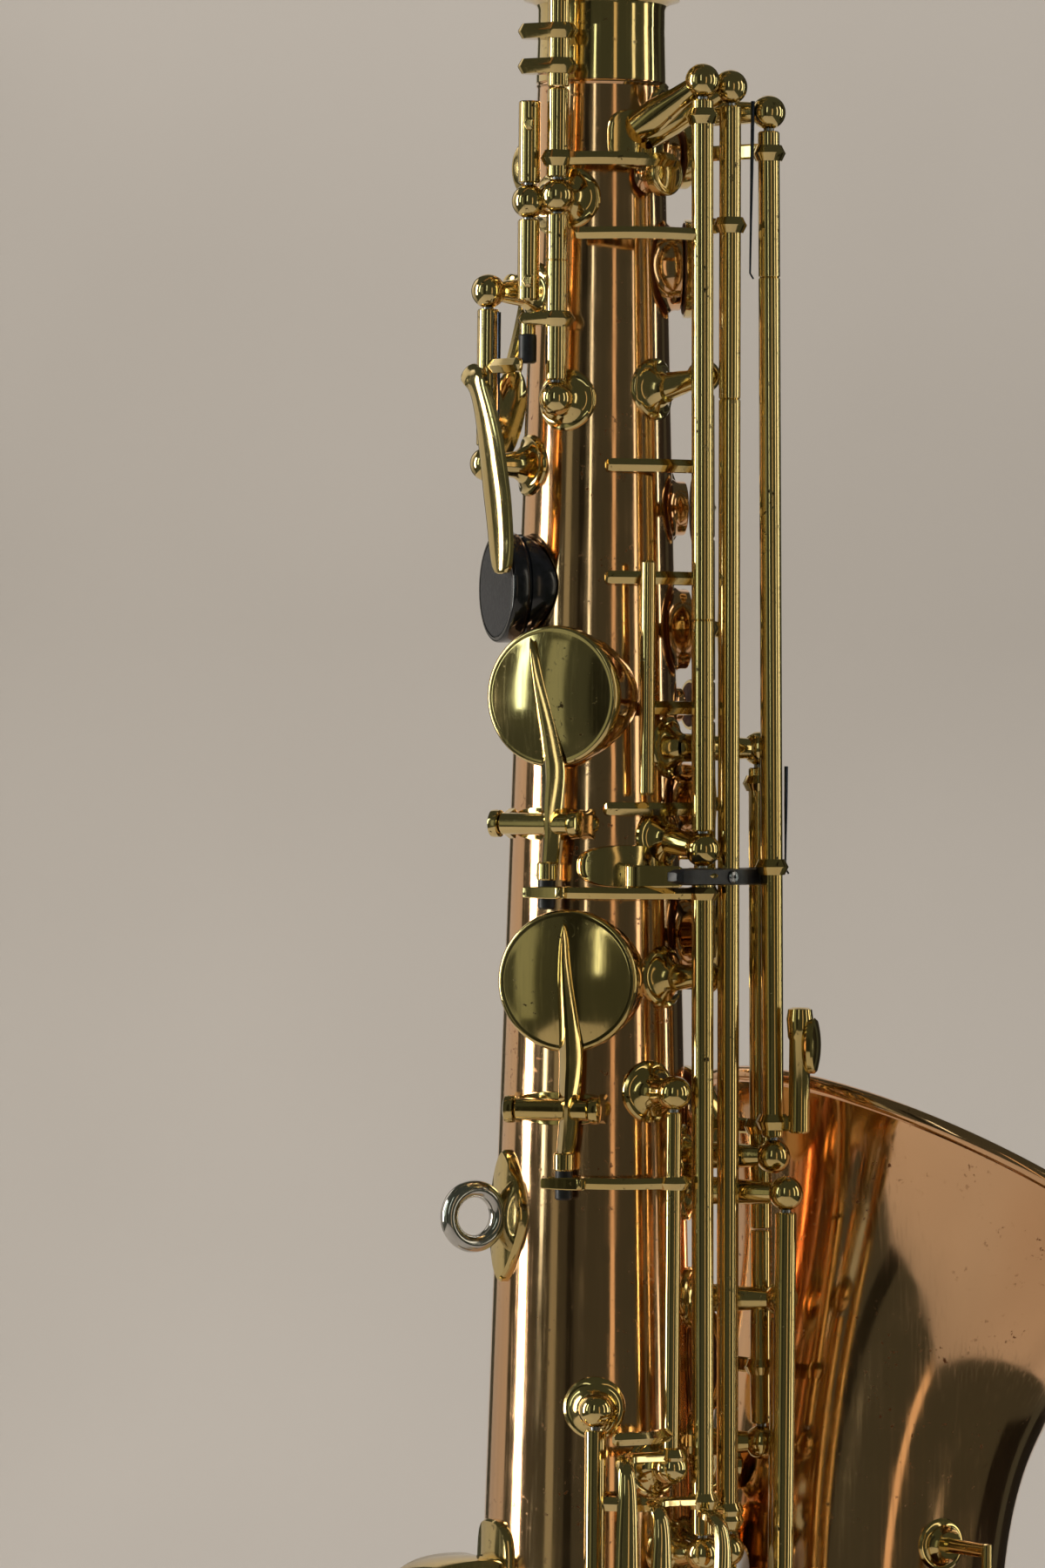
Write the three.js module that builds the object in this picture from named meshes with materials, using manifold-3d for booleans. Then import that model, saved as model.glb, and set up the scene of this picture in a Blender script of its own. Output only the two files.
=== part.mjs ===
import * as THREE from 'three';
import Module from 'manifold-3d';
import { mergeVertices } from 'three/addons/utils/BufferGeometryUtils.js';

// An alto saxophone as it comes apart on a repair bench: body tube, bow and bell, the key work on its
// posts, and the neck with its cork, mouthpiece, ligature and reed.
// All lengths are millimetres. The model is laid out with +Z up the body tube from the bow joint and
// +X towards the bell. An azimuth turns about the body tube from 0 at the player's right (-Y) through
// 90 at the bell side. At the end everything is moved so that the strap ring's centre is the origin.

const wasm = await Module();
wasm.setup();

// Body tube
const bodyHeight = 530;
const bottomRadius = 27.8;
const topRadius = 12.5;
const tubeWall = 1;
const tubeTopShare = 0.948;

// Clearances
const touchGap = 0.3;
const overrun = 2;
const mergeTolerance = 0.0001;

// Tone hole chimneys, pads and cups
const chimneyWall = 0.9;
const chimneyRise = 2.8;
const cupMargin = 2.5;
const cupHeight = 3.6;
const cupShoulder = 0.7;
const pearlRadius = 6.2;
const pearlHeight = 3;
const pearlFace = 0.84;

// Hinge tubes, arms and posts
const hingeRadius = 2.35;
const pinRadius = 0.9;
const pinReach = 2.8;
const boreRadius = 1.4;
const boreDepth = 3.5;
const ballRadius = 3.7;
const ballClear = 3.9;
const stemRadius = 1.5;
const stemFootRadius = 2.3;
const postNeckRadius = 2.1;
const postRootRadius = 3;
const footRadius = 6;
const footRise = 1.6;
const footDepth = 0.7;
const armThickness = 2.2;
const armWidth = 4;
const armRise = 0.5;

// Bow and bell
const bellDistance = 70;
const bowLeg = 20;
const bellStartRadius = 31.5;
const bellThroatRadius = 33.5;
const bellRimRadius = 61.5;
const bellRimDistance = 96;
const bellRimShare = 0.4557;
const bellThroatShare = 0.283;
const bellRimHeight = bellRimShare * bodyHeight;
const bellThroatHeight = bellThroatShare * bodyHeight;
const bellLean = 30;
const rimBead = 2;
const jointBandHeight = 11;
const jointBandWall = 2;

// Neck
const receiverRadius = 13.75;
const receiverCollarRadius = 17;
const receiverBore = 12.4;
const neckTenonRadius = 12.1;
const neckEndRadius = 6.6;
const neckWall = 0.9;
const neckRise = 62;
const neckReach = 126;
const neckDrop = 18;
const neckFall = 13;
const corkLength = 34;
const corkWall = 1.6;
const mouthpieceLength = 92;
const mouthpieceRadius = 12.6;
const mouthpieceOverlap = 20;

// How many flat sides stand for the round ones
const tubeSides = 20;
const bellSides = 24;
const neckSides = 12;
const largeSides = 12;
const smallSides = 8;
const hingeSides = 8;
const wireSides = 5;
const pinSides = 4;
const postSides = 6;
const largeRadius = 9;

const xAxis = new THREE.Vector3(1, 0, 0);
const zAxis = new THREE.Vector3(0, 0, 1);
const yAxis = new THREE.Vector3(0, 1, 0);

const radians = (degrees) => THREE.MathUtils.degToRad(degrees);

const heightOf = (share) => share * bodyHeight;

function tubeRadius(height) {
  return bottomRadius + ((topRadius - bottomRadius) * height) / bodyHeight;
}

function outward(angle) {
  return new THREE.Vector3(Math.sin(radians(angle)), -Math.cos(radians(angle)), 0);
}

function around(angle) {
  return new THREE.Vector3(Math.cos(radians(angle)), Math.sin(radians(angle)), 0);
}

function polar(angle, radius, height) {
  return outward(angle).multiplyScalar(radius).setZ(height);
}

// Solids

function manifoldOf(positions, triangles) {
  return new wasm.Manifold(
    new wasm.Mesh({ numProp: 3, vertProperties: positions, triVerts: triangles }),
  );
}

// A closed geometry as a solid: corners that meet are merged, triangles that this flattens to nothing
// are left out, and a surface that was drawn inside out is turned.
function solidOf(geometry) {
  const bare = geometry.index ? geometry.toNonIndexed() : geometry.clone();
  bare.deleteAttribute('normal');
  bare.deleteAttribute('uv');
  const merged = mergeVertices(bare, mergeTolerance);
  const corners = merged.index.array;
  const kept = [];
  for (let i = 0; i < corners.length; i += 3) {
    const [a, b, c] = corners.slice(i, i + 3);
    if (a !== b && b !== c && c !== a) kept.push(a, b, c);
  }
  const positions = merged.attributes.position.array;
  const solid = manifoldOf(positions, new Uint32Array(kept));
  if (solid.volume() > 0) return solid;
  return manifoldOf(positions, new Uint32Array(kept.reverse()));
}

function join(...solids) {
  return solids.flat().reduce((whole, solid) => whole.add(solid));
}

function cut(solid, ...tools) {
  return tools.flat().reduce((rest, tool) => rest.subtract(tool), solid);
}

// A round bar between two points, with another radius at its far end if given.
function bar(from, to, radius, sides = hingeSides, endRadius = radius) {
  const along = to.clone().sub(from);
  const geometry = new THREE.CylinderGeometry(endRadius, radius, along.length(), sides);
  geometry.applyQuaternion(
    new THREE.Quaternion().setFromUnitVectors(yAxis, along.clone().normalize()),
  );
  const middle = from.clone().add(to).divideScalar(2);
  return solidOf(geometry.translate(...middle));
}

function ball(centre, radius) {
  return solidOf(new THREE.SphereGeometry(radius, hingeSides, 4).translate(...centre));
}

// A box whose sides run along three directions at right angles.
function block(centre, sizes, xSide, ySide) {
  const basis = new THREE.Matrix4().makeBasis(xSide, ySide, xSide.clone().cross(ySide));
  basis.setPosition(centre);
  return solidOf(new THREE.BoxGeometry(...sizes).applyMatrix4(basis));
}

// A profile of [radius, height] points turned about an axis through a point.
function turned(profile, origin, axis, sides = largeSides) {
  const points = profile.map(([radius, height]) => new THREE.Vector2(radius, height));
  const geometry = new THREE.LatheGeometry(points, sides);
  geometry.applyQuaternion(new THREE.Quaternion().setFromUnitVectors(yAxis, axis));
  return solidOf(geometry.translate(...origin));
}

// An outline pushed along the cross product of its two sides, half to each side of a point.
function pushed(outline, depth, centre, xSide, ySide) {
  const shape = new THREE.Shape(outline.map(([x, y]) => new THREE.Vector2(x, y)));
  const geometry = new THREE.ExtrudeGeometry(shape, { depth, bevelEnabled: false, steps: 1 });
  geometry.translate(0, 0, -depth / 2);
  const basis = new THREE.Matrix4().makeBasis(xSide, ySide, xSide.clone().cross(ySide));
  basis.setPosition(centre);
  return solidOf(geometry.applyMatrix4(basis));
}

// The outline of a strap of even thickness along a bent line of [x, y] points. At a sharp bend the
// corner is kept short by the limit on the cosine of half its turn.
const sharpestBend = 0.6;

function strapOutline(line, thickness) {
  const points = line.map(([x, y]) => new THREE.Vector2(x, y));
  const normals = points.map((point, i) => {
    const before = points[Math.max(i - 1, 0)];
    const after = points[Math.min(i + 1, points.length - 1)];
    const incoming = point.clone().sub(before).normalize();
    const outgoing = after.clone().sub(point).normalize();
    const along = incoming.add(outgoing).normalize();
    const bend = Math.max(Math.abs(along.dot(after.clone().sub(point).normalize())), sharpestBend);
    const half = thickness / 2 / (i > 0 && i < points.length - 1 ? bend : 1);
    return new THREE.Vector2(-along.y, along.x).multiplyScalar(half);
  });
  const left = points.map((point, i) => point.clone().add(normals[i]));
  const right = points.map((point, i) => point.clone().sub(normals[i]));
  return [...left, ...right.reverse()].map((point) => [point.x, point.y]);
}

// A strap that lies square to the body tube, through points given as vectors.
function levelStrap(points, thickness, width, height) {
  const outline = strapOutline(points.map((point) => [point.x, point.y]), thickness);
  return pushed(outline, width, new THREE.Vector3(0, 0, height), xAxis, yAxis);
}

// An oval outline about a middle.
function oval(halfLong, halfWide, steps = smallSides) {
  return Array.from({ length: steps }, (_, i) => {
    const turn = (i / steps) * 2 * Math.PI;
    return [halfLong * Math.cos(turn), halfWide * Math.sin(turn)];
  });
}

// An oval plate that faces along a direction, its long side up unless told otherwise.
function plate(centre, normal, halfLong, halfWide, thickness, longSide = zAxis) {
  const wideSide = normal.clone().cross(longSide).normalize();
  return pushed(oval(halfLong, halfWide), thickness, centre, longSide, wideSide);
}

// Rings along a path in the plane of body and bell. Each ring is a point, a tangent and a radius.
function sweptSolid(rings, sides) {
  const grid = rings.map(({ point, tangent, radius }) => {
    const side = yAxis.clone().cross(tangent).normalize();
    return Array.from({ length: sides }, (_, i) => {
      const turn = (i / sides) * 2 * Math.PI;
      const spoke = side.clone().multiplyScalar(Math.cos(turn) * radius);
      return spoke.addScaledVector(yAxis, Math.sin(turn) * radius).add(point);
    });
  });
  const positions = [...grid.flat(), rings[0].point, rings.at(-1).point].flatMap((p) => [...p]);
  const first = grid.length * sides;
  const last = first + 1;
  const index = [];
  for (let side = 0; side < sides; side += 1) {
    const next = (side + 1) % sides;
    for (let ring = 0; ring + 1 < grid.length; ring += 1) {
      const here = ring * sides;
      const there = here + sides;
      index.push(here + side, there + side, there + next, here + side, there + next, here + next);
    }
    const end = (grid.length - 1) * sides;
    index.push(first, side, next, last, end + next, end + side);
  }
  const geometry = new THREE.BufferGeometry();
  geometry.setAttribute('position', new THREE.Float32BufferAttribute(positions, 3));
  geometry.setIndex(index);
  return solidOf(geometry);
}

function evenShares(from, to, steps) {
  return Array.from({ length: steps + 1 }, (_, i) => from + ((to - from) * i) / steps);
}

// The rings of a path at some shares of its length, with a radius for each share.
function ringsAlong(path, shares, radiusAt) {
  return shares.map((share) => ({
    point: path.getPointAt(share),
    tangent: path.getTangentAt(share),
    radius: radiusAt(share),
  }));
}

// The same rings, thinner by a wall and run past both ends, for the bore.
function boreRings(rings, wall) {
  const inner = rings.map((ring) => ({ ...ring, radius: ring.radius - wall }));
  const [start, end] = [inner[0], inner.at(-1)];
  const before = start.point.clone().addScaledVector(start.tangent, -overrun);
  const after = end.point.clone().addScaledVector(end.tangent, overrun);
  return [{ ...start, point: before }, ...inner, { ...end, point: after }];
}

// Hinge lines that run up the tube: azimuth, the share of the body height of their lowest end, how far
// they stand off the tube there, and how much they lean in towards it for each unit of height.
const lineTable = {
  sideC: { angle: 16, lowShare: 0.347, standOff: 9.4, lean: 0.0111 },
  highE: { angle: 31, lowShare: 0.336, standOff: 10.2, lean: 0.0068 },
  highFSharp: { angle: 43.5, lowShare: 0.47, standOff: 19.5, lean: 0.0129 },
  middle: { angle: 57, lowShare: 0.37, standOff: 15.1, lean: 0.0116 },
  sideBb: { angle: 4, lowShare: 0.3585, standOff: 6.2, lean: 0 },
  upper: { angle: 32, lowShare: 0.5556, standOff: 7.1, lean: 0.012 },
  lower: { angle: 31, lowShare: 0.17, standOff: 7.7, lean: 0 },
  vent: { angle: -60, lowShare: 0.789, standOff: 4.8, lean: 0 },
  rocker: { angle: -76, lowShare: 0.8185, standOff: 7.3, lean: 0 },
  thumb: { angle: -100, lowShare: 0.763, standOff: 9.9, lean: 0 },
  trill: { angle: -31, lowShare: 0.22, standOff: 3.6, lean: 0 },
  bellHigh: { angle: 50, lowShare: 0.2, standOff: 16.6, lean: 0 },
  bellLow: { angle: 38, lowShare: 0.14, standOff: 18.3, lean: 0 },
  lowCSharp: { angle: 132.5, lowShare: 0.05, standOff: 21.8, lean: 0 },
  table: { angle: 118, lowShare: 0.53, standOff: 14.3, lean: 0 },
};
const lines = Object.fromEntries(
  Object.entries(lineTable).map(([name, { angle, lowShare, standOff, lean }]) => {
    const low = lowShare * bodyHeight;
    return [name, { angle, low, lean, foot: tubeRadius(low) + standOff }];
  }),
);

function lineRadius(line, height) {
  return line.foot - line.lean * (height - line.low);
}

function onLine(line, height) {
  return polar(line.angle, lineRadius(line, height), height);
}

function alongLine(line) {
  return onLine(line, bodyHeight).sub(onLine(line, 0)).normalize();
}

// Tone holes. A hole has the centre of its chimney's rim, the direction it faces, its radius, and
// the point inside the tube from which it is bored.
const holeTable = {
  octave: { heightShare: 0.881, angle: 13, radius: 2.2 },
  palmF: { heightShare: 0.8868, angle: 190, radius: 5.2 },
  highFSharp: { heightShare: 0.8915, angle: 75, radius: 4.6 },
  palmEFlat: { heightShare: 0.842, angle: 121, radius: 5.6 },
  highE: { heightShare: 0.8447, angle: 60, radius: 8.2 },
  palmD: { heightShare: 0.8057, angle: 163, radius: 5.8 },
  cVent: { heightShare: 0.7468, angle: 66, radius: 5 },
  b: { heightShare: 0.6974, angle: 66, radius: 7.8 },
  bis: { heightShare: 0.6666, angle: 84, radius: 3 },
  sideC: { heightShare: 0.6689, angle: -57.5, radius: 12.7 },
  a: { heightShare: 0.626, angle: 66, radius: 8 },
  sideBb: { heightShare: 0.5543, angle: -46.5, radius: 12.7 },
  g: { heightShare: 0.5728, angle: 68, radius: 9 },
  gSharp: { heightShare: 0.4943, angle: 94, radius: 10 },
  fSharp: { heightShare: 0.3962, angle: 95, radius: 10.5 },
  f: { heightShare: 0.3132, angle: 85, radius: 11 },
  e: { heightShare: 0.2491, angle: 85, radius: 11.7 },
  d: { heightShare: 0.1811, angle: 85, radius: 12.5 },
  eFlat: { heightShare: 0.117, angle: -15, radius: 13 },
};
const tubeHoles = Object.fromEntries(
  Object.entries(holeTable).map(([name, { heightShare, angle, radius }]) => {
    const height = heightShare * bodyHeight;
    const hole = {
      rim: polar(angle, tubeRadius(height) + chimneyRise, height),
      root: polar(angle, 0, height),
      axis: outward(angle),
      radius,
    };
    return [name, hole];
  }),
);

// The holes on the bow and the bell face straight to the player's right or left.
const bellHoleTable = {
  lowC: { along: 0, heightShare: -0.0415, side: -1, radius: 14.5, tube: bottomRadius },
  lowCSharp: { along: bellDistance, heightShare: 0.094, side: 1, radius: 13.5, tube: bellThroatRadius },
  lowB: { along: bellDistance, heightShare: 0.179, side: -1, radius: 15.5, tube: bellThroatRadius },
  lowBFlat: { along: bellDistance, heightShare: 0.2736, side: -1, radius: 16, tube: bellThroatRadius },
};
const bellHoles = Object.fromEntries(
  Object.entries(bellHoleTable).map(([name, { along, heightShare, side, radius, tube }]) => {
    const height = heightShare * bodyHeight;
    const hole = {
      rim: new THREE.Vector3(along, side * (tube + chimneyRise), height),
      root: new THREE.Vector3(along, 0, height),
      axis: new THREE.Vector3(0, side, 0),
      radius,
    };
    return [name, hole];
  }),
);
const holes = { ...tubeHoles, ...bellHoles };

function sidesOf(radius) {
  return radius > largeRadius ? largeSides : smallSides;
}

function chimney(hole) {
  return bar(hole.root, hole.rim, hole.radius + chimneyWall, sidesOf(hole.radius));
}

function holeCutter(hole) {
  const past = hole.rim.clone().addScaledVector(hole.axis, overrun);
  return bar(hole.root, past, hole.radius, sidesOf(hole.radius));
}

// Posts: a foot on the tube, a stem and a ball with pins for the hinge tubes above and below it.
const postTable = [
  { line: 'sideC', share: 0.918, footAngle: 1, footShare: 0.9, below: true },
  { line: 'highE', share: 0.9165, footAngle: 8, footShare: 0.898, below: true },
  { line: 'highFSharp', share: 0.9072, below: true },
  { line: 'sideC', share: 0.6075, footShare: 0.612, above: true, below: true },
  { line: 'sideC', share: 0.3236, above: true },
  { line: 'highE', share: 0.324, above: true },
  { line: 'highFSharp', share: 0.483, above: true },
  { line: 'middle', share: 0.6487, footAngle: 30, below: true },
  { line: 'middle', share: 0.3652, above: true },
  { line: 'sideBb', share: 0.5094, below: true },
  { line: 'sideBb', share: 0.3585, above: true },
  { line: 'upper', share: 0.7995, footAngle: 18, footShare: 0.7942, below: true },
  { line: 'upper', share: 0.5556, footAngle: 18, above: true },
  { line: 'lower', share: 0.324, below: true },
  { line: 'lower', share: 0.147, above: true, below: true },
  { line: 'lower', share: 0.068, above: true },
  { line: 'vent', share: 0.8711, above: true, below: true },
  { line: 'vent', share: 0.7892, above: true },
  { line: 'rocker', share: 0.869, above: true, below: true, reachShare: 0.032 },
  { line: 'thumb', share: 0.8334, below: true },
  { line: 'thumb', share: 0.7632, above: true },
  { line: 'trill', share: 0.3823, below: true },
  { line: 'trill', share: 0.2264, above: true },
  { line: 'bellHigh', share: 0.4245, below: true },
  { line: 'bellHigh', share: 0.2113, above: true },
  { line: 'bellLow', share: 0.4685, footAngle: 47, below: true },
  { line: 'bellLow', share: 0.1415, footAngle: 44, above: true, below: true },
  { line: 'lowCSharp', share: 0.4943, below: true },
  { line: 'lowCSharp', share: 0.049, above: true },
  { line: 'table', share: 0.6245, below: true },
  { line: 'table', share: 0.5302, above: true },
];

// A foot, a stem and a ball turned about one line from a point in the tube's wall.
function postSolid(foot, centre) {
  const along = centre.clone().sub(foot);
  const tall = along.length();
  const waist = tall - ballRadius;
  const half = ballRadius / 2;
  const profile = [
    [0, 0],
    [footRadius, 0],
    [postRootRadius, footDepth + footRise],
    [postNeckRadius, waist],
    [ballRadius, tall - half],
    [ballRadius, tall + half],
    [0, tall + ballRadius],
  ];
  return turned(profile, foot, along.normalize(), postSides);
}

function pins(line, height, above, below, reach = ballClear + pinReach) {
  const centre = onLine(line, height);
  const ends = [];
  if (above) ends.push(onLine(line, height + reach));
  if (below) ends.push(onLine(line, height - reach));
  return ends.map((end) => bar(centre, end, pinRadius, pinSides));
}

function post({ line, share, footAngle, footShare, above, below, reachShare }) {
  const hinge = lines[line];
  const height = share * bodyHeight;
  const footHeight = (footShare ?? share) * bodyHeight;
  const skin = tubeRadius(footHeight);
  const foot = polar(footAngle ?? hinge.angle, skin - footDepth, footHeight);
  const reach = reachShare && reachShare * bodyHeight;
  return join(postSolid(foot, onLine(hinge, height)), pins(hinge, height, above, below, reach));
}

// The solid that the tube and a gap around it fill, which trims what is seated on the tube.
function tubeSeat(gap) {
  const low = new THREE.Vector3(0, 0, -overrun);
  const high = new THREE.Vector3(0, 0, bodyHeight);
  return bar(low, high, tubeRadius(-overrun) + gap, tubeSides, topRadius + gap);
}

function bodyTube() {
  const low = new THREE.Vector3(0, 0, 0);
  const top = bodyHeight * tubeTopShare;
  const high = new THREE.Vector3(0, 0, top);
  const under = new THREE.Vector3(0, 0, -overrun);
  const over = new THREE.Vector3(0, 0, top + overrun);
  const outer = bar(low, high, tubeRadius(0), tubeSides, tubeRadius(top));
  const boreStart = tubeRadius(-overrun) - tubeWall;
  const boreEnd = tubeRadius(top + overrun) - tubeWall;
  const bore = bar(under, over, boreStart, tubeSides, boreEnd);
  const onTube = Object.values(tubeHoles);
  const saddles = Object.keys(palmTable).map((name) => {
    const { angle, height, radius } = palmPlace(name);
    return saddle(angle, radius, height, palmTubeLength);
  });
  const raised = join(outer, onTube.map(chimney), postTable.map(post), saddles);
  return cut(raised, bore, onTube.map(holeCutter));
}

// Bow and bell

const bowPath = new THREE.CurvePath();
const bendRadius = bellDistance / 2;

class HalfTurn extends THREE.Curve {
  getPoint(share, target = new THREE.Vector3()) {
    const turn = share * Math.PI;
    const x = bendRadius - bendRadius * Math.cos(turn);
    return target.set(x, 0, -bowLeg - bendRadius * Math.sin(turn));
  }
}

bowPath.add(
  new THREE.LineCurve3(new THREE.Vector3(0, 0, -touchGap), new THREE.Vector3(0, 0, -bowLeg)),
);
bowPath.add(new HalfTurn());
bowPath.add(
  new THREE.LineCurve3(
    new THREE.Vector3(bellDistance, 0, -bowLeg),
    new THREE.Vector3(bellDistance, 0, -touchGap),
  ),
);

const lowCPostHeight = { foot: -30, ball: -32 };

function bow() {
  const grow = (share) => bottomRadius + (bellStartRadius - bottomRadius) * share;
  const length = bowPath.getLength();
  const legShare = bowLeg / length;
  const shares = [0, ...evenShares(legShare, 1 - legShare, 8), 1];
  const rings = ringsAlong(bowPath, shares, grow);
  const hinge = lines.bellLow;
  const foot = polar(hinge.angle, bottomRadius - footDepth, lowCPostHeight.foot);
  const lowBall = onLine(hinge, lowCPostHeight.ball);
  const lowCPost = join(postSolid(foot, lowBall), pins(hinge, lowBall.z, true, false));
  const raised = join(sweptSolid(rings, tubeSides), chimney(holes.lowC), lowCPost);
  const bore = sweptSolid(boreRings(rings, tubeWall), tubeSides);
  return cut(raised, bore, holeCutter(holes.lowC));
}

const rimCentre = new THREE.Vector3(bellRimDistance, 0, bellRimHeight);
const rimAxis = new THREE.Vector3(Math.sin(radians(bellLean)), 0, Math.cos(radians(bellLean)));
const bellPath = new THREE.CurvePath();
const throatPoint = new THREE.Vector3(bellDistance, 0, bellThroatHeight);
bellPath.add(new THREE.LineCurve3(new THREE.Vector3(bellDistance, 0, 0), throatPoint));
bellPath.add(
  new THREE.CubicBezierCurve3(
    throatPoint,
    throatPoint.clone().setZ(bellThroatHeight + bendRadius),
    rimCentre.clone().addScaledVector(rimAxis, -bendRadius),
    rimCentre,
  ),
);

// The bell widens a little up to its throat. Past it a small part of the widening is even, and the
// rest flares with the fourth power of the way left.
const evenFlare = 0.1;
const flarePower = 4;

function bellRadius(share) {
  const length = bellPath.getLength();
  const straightShare = bellThroatHeight / length;
  if (share < straightShare) {
    const way = share / straightShare;
    return bellStartRadius + (bellThroatRadius - bellStartRadius) * way;
  }
  const way = (share - straightShare) / (1 - straightShare);
  const widening = (bellRimRadius - bellThroatRadius) * (evenFlare * way + (1 - evenFlare) * way ** flarePower);
  return bellThroatRadius + widening;
}

function bellRings() {
  const straightShare = bellThroatHeight / bellPath.getLength();
  return ringsAlong(bellPath, [0, ...evenShares(straightShare, 1, 8)], bellRadius);
}

// The solid that the bell and a gap around it fill.
function bellSeat(gap) {
  return sweptSolid(boreRings(bellRings(), -gap), bellSides);
}

function bell() {
  const rings = bellRings();
  const bead = new THREE.TorusGeometry(bellRimRadius, rimBead, wireSides, bellSides);
  bead.applyQuaternion(new THREE.Quaternion().setFromUnitVectors(zAxis, rimAxis));
  const bored = [holes.lowCSharp, holes.lowB, holes.lowBFlat];
  const raised = join(sweptSolid(rings, bellSides), bored.map(chimney));
  const bore = sweptSolid(boreRings(rings, tubeWall), bellSides);
  const shell = cut(raised, bore, bored.map(holeCutter));
  return join(shell, solidOf(bead.translate(...rimCentre)));
}

// A clamp band round a tube joint.
function jointBand(distance, radius) {
  const inner = radius + touchGap;
  const outer = inner + jointBandWall;
  const half = jointBandHeight / 2;
  const profile = [
    [inner, -half],
    [outer, -half],
    [outer, half],
    [inner, half],
    [inner, -half],
  ];
  return turned(profile, new THREE.Vector3(distance, 0, 0), zAxis, bellSides);
}

// A ring between body and bell with a seat at each side.
const braceShare = 0.353;
const braceWire = 1.5;
const braceSeat = { thickness: 3, halfWide: 4, halfTall: 6 };
function bellBrace() {
  const height = braceShare * bodyHeight;
  const start = tubeRadius(height);
  const end = bellDistance - bellThroatRadius;
  const middle = new THREE.Vector3((start + end) / 2, 0, height);
  const bend = (end - start) / 2 - braceWire;
  const ring = new THREE.TorusGeometry(bend, braceWire, wireSides, largeSides);
  ring.rotateX(Math.PI / 2).translate(...middle);
  const sizes = [2 * braceSeat.thickness, 2 * braceSeat.halfWide, 2 * braceSeat.halfTall];
  const seats = [start, end].map((x) =>
    block(new THREE.Vector3(x, 0, height), sizes, xAxis, yAxis),
  );
  return cut(join(solidOf(ring), seats), tubeSeat(touchGap), bellSeat(touchGap));
}

// Keys

// A pad cup that lies on its chimney with the touching gap.
function cup(hole) {
  const edge = hole.radius + cupMargin;
  const top = touchGap + cupHeight;
  const profile = [
    [0, touchGap],
    [edge, touchGap],
    [edge, top - cupShoulder],
    [edge - 2 * cupShoulder, top],
    [0, top],
  ];
  return turned(profile, hole.rim, hole.axis, sidesOf(hole.radius));
}

// A finger pearl in its round holder, its foot at a point.
function pearl(foot, axis) {
  const profile = [
    [0, 0],
    [pearlRadius, 0],
    [pearlFace * pearlRadius, pearlHeight],
    [0, pearlHeight],
  ];
  return turned(profile, foot, axis, smallSides);
}

// A hinge tube between two heights of its line, bored at both ends for the pivot pins, or right
// through for a rod.
function hingeTube(line, low, high, through) {
  const depth = through ? high - low : boreDepth;
  const tube = bar(onLine(line, low), onLine(line, high), hingeRadius);
  const bores = [
    bar(onLine(line, low - overrun), onLine(line, low + depth), boreRadius, wireSides),
    bar(onLine(line, high - depth), onLine(line, high + overrun), boreRadius, wireSides),
  ];
  return { tube, bores };
}

// An arm from a hinge line over the near edge of a cup to its middle.
function cupArm(line, hole, height, width) {
  const hinge = onLine(line, height);
  const side = zAxis.clone().cross(hole.axis);
  const offset = hinge.clone().sub(hole.rim).dot(side);
  const near = side.clone().multiplyScalar(Math.sign(offset));
  const edge = hole.radius + cupMargin;
  const rise = touchGap + cupHeight + armRise;
  const elbow = hole.rim.clone().addScaledVector(near, edge).addScaledVector(hole.axis, rise);
  const end = hole.rim
    .clone()
    .addScaledVector(near, -edge / 3)
    .addScaledVector(hole.axis, rise);
  return levelStrap([hinge, elbow, end], armThickness, width, height);
}

// A key on a hinge line: a bored hinge tube, an arm and a cup for each hole, and what is added.
// The heights are shares of the body height.
function hingedKey({ line, lowShare, highShare, cups = [], added = [], through = false }) {
  const hinge = lines[line];
  const { tube, bores } = hingeTube(hinge, heightOf(lowShare), heightOf(highShare), through);
  const pieces = cups.flatMap(({ hole, armShare, pearled }) => {
    const { rim, axis } = holes[hole];
    const height = armShare === undefined ? rim.z : heightOf(armShare);
    const solids = [cup(holes[hole]), cupArm(hinge, holes[hole], height, armWidth)];
    const top = rim.clone().addScaledVector(axis, cupHeight);
    if (pearled) solids.push(pearl(top, axis));
    return solids;
  });
  return cut(join(tube, ...pieces, ...added), ...bores);
}

// A level arm from a hinge line through points given as [azimuth, radius], at a share of the height.
function sideArm(line, share, stops, width = armWidth) {
  const height = heightOf(share);
  const points = stops.map(([angle, radius]) => polar(angle, radius, height));
  return levelStrap([onLine(line, height), ...points], armThickness, width, height);
}

// The frame of a key that rocks across the tube: up the tube, outward and around it.
function rocking(angle) {
  return { up: zAxis, out: outward(angle), side: around(angle) };
}

// The part of a rocking key that is drawn in heights and radii and has a width around the tube.
function upright(angle, points, thickness, width) {
  const frame = rocking(angle);
  const outline = strapOutline(points, thickness);
  return pushed(outline, width, new THREE.Vector3(0, 0, 0), frame.up, frame.out);
}

const rockerTubeLength = 16;
const rockerShift = -2.6;
const saddleWall = 2;
const saddleRise = 6.6;
const saddleDepth = 3;

// A hinge tube across the body tube. A shift moves it sideways from the key's own middle.
function crossTube(angle, radius, height, length, shift = 0) {
  const side = around(angle);
  const middle = polar(angle, radius, height).addScaledVector(side, shift);
  const left = middle.clone().addScaledVector(side, -length / 2);
  const right = middle.clone().addScaledVector(side, length / 2);
  const boresAt = [
    [left, -overrun, boreDepth],
    [right, -boreDepth, overrun],
  ];
  const bores = boresAt.map(([end, before, after]) => {
    const start = end.clone().addScaledVector(side, before);
    const stop = end.clone().addScaledVector(side, after);
    return bar(start, stop, boreRadius, wireSides);
  });
  return { tube: bar(left, right, hingeRadius), bores };
}

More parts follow.
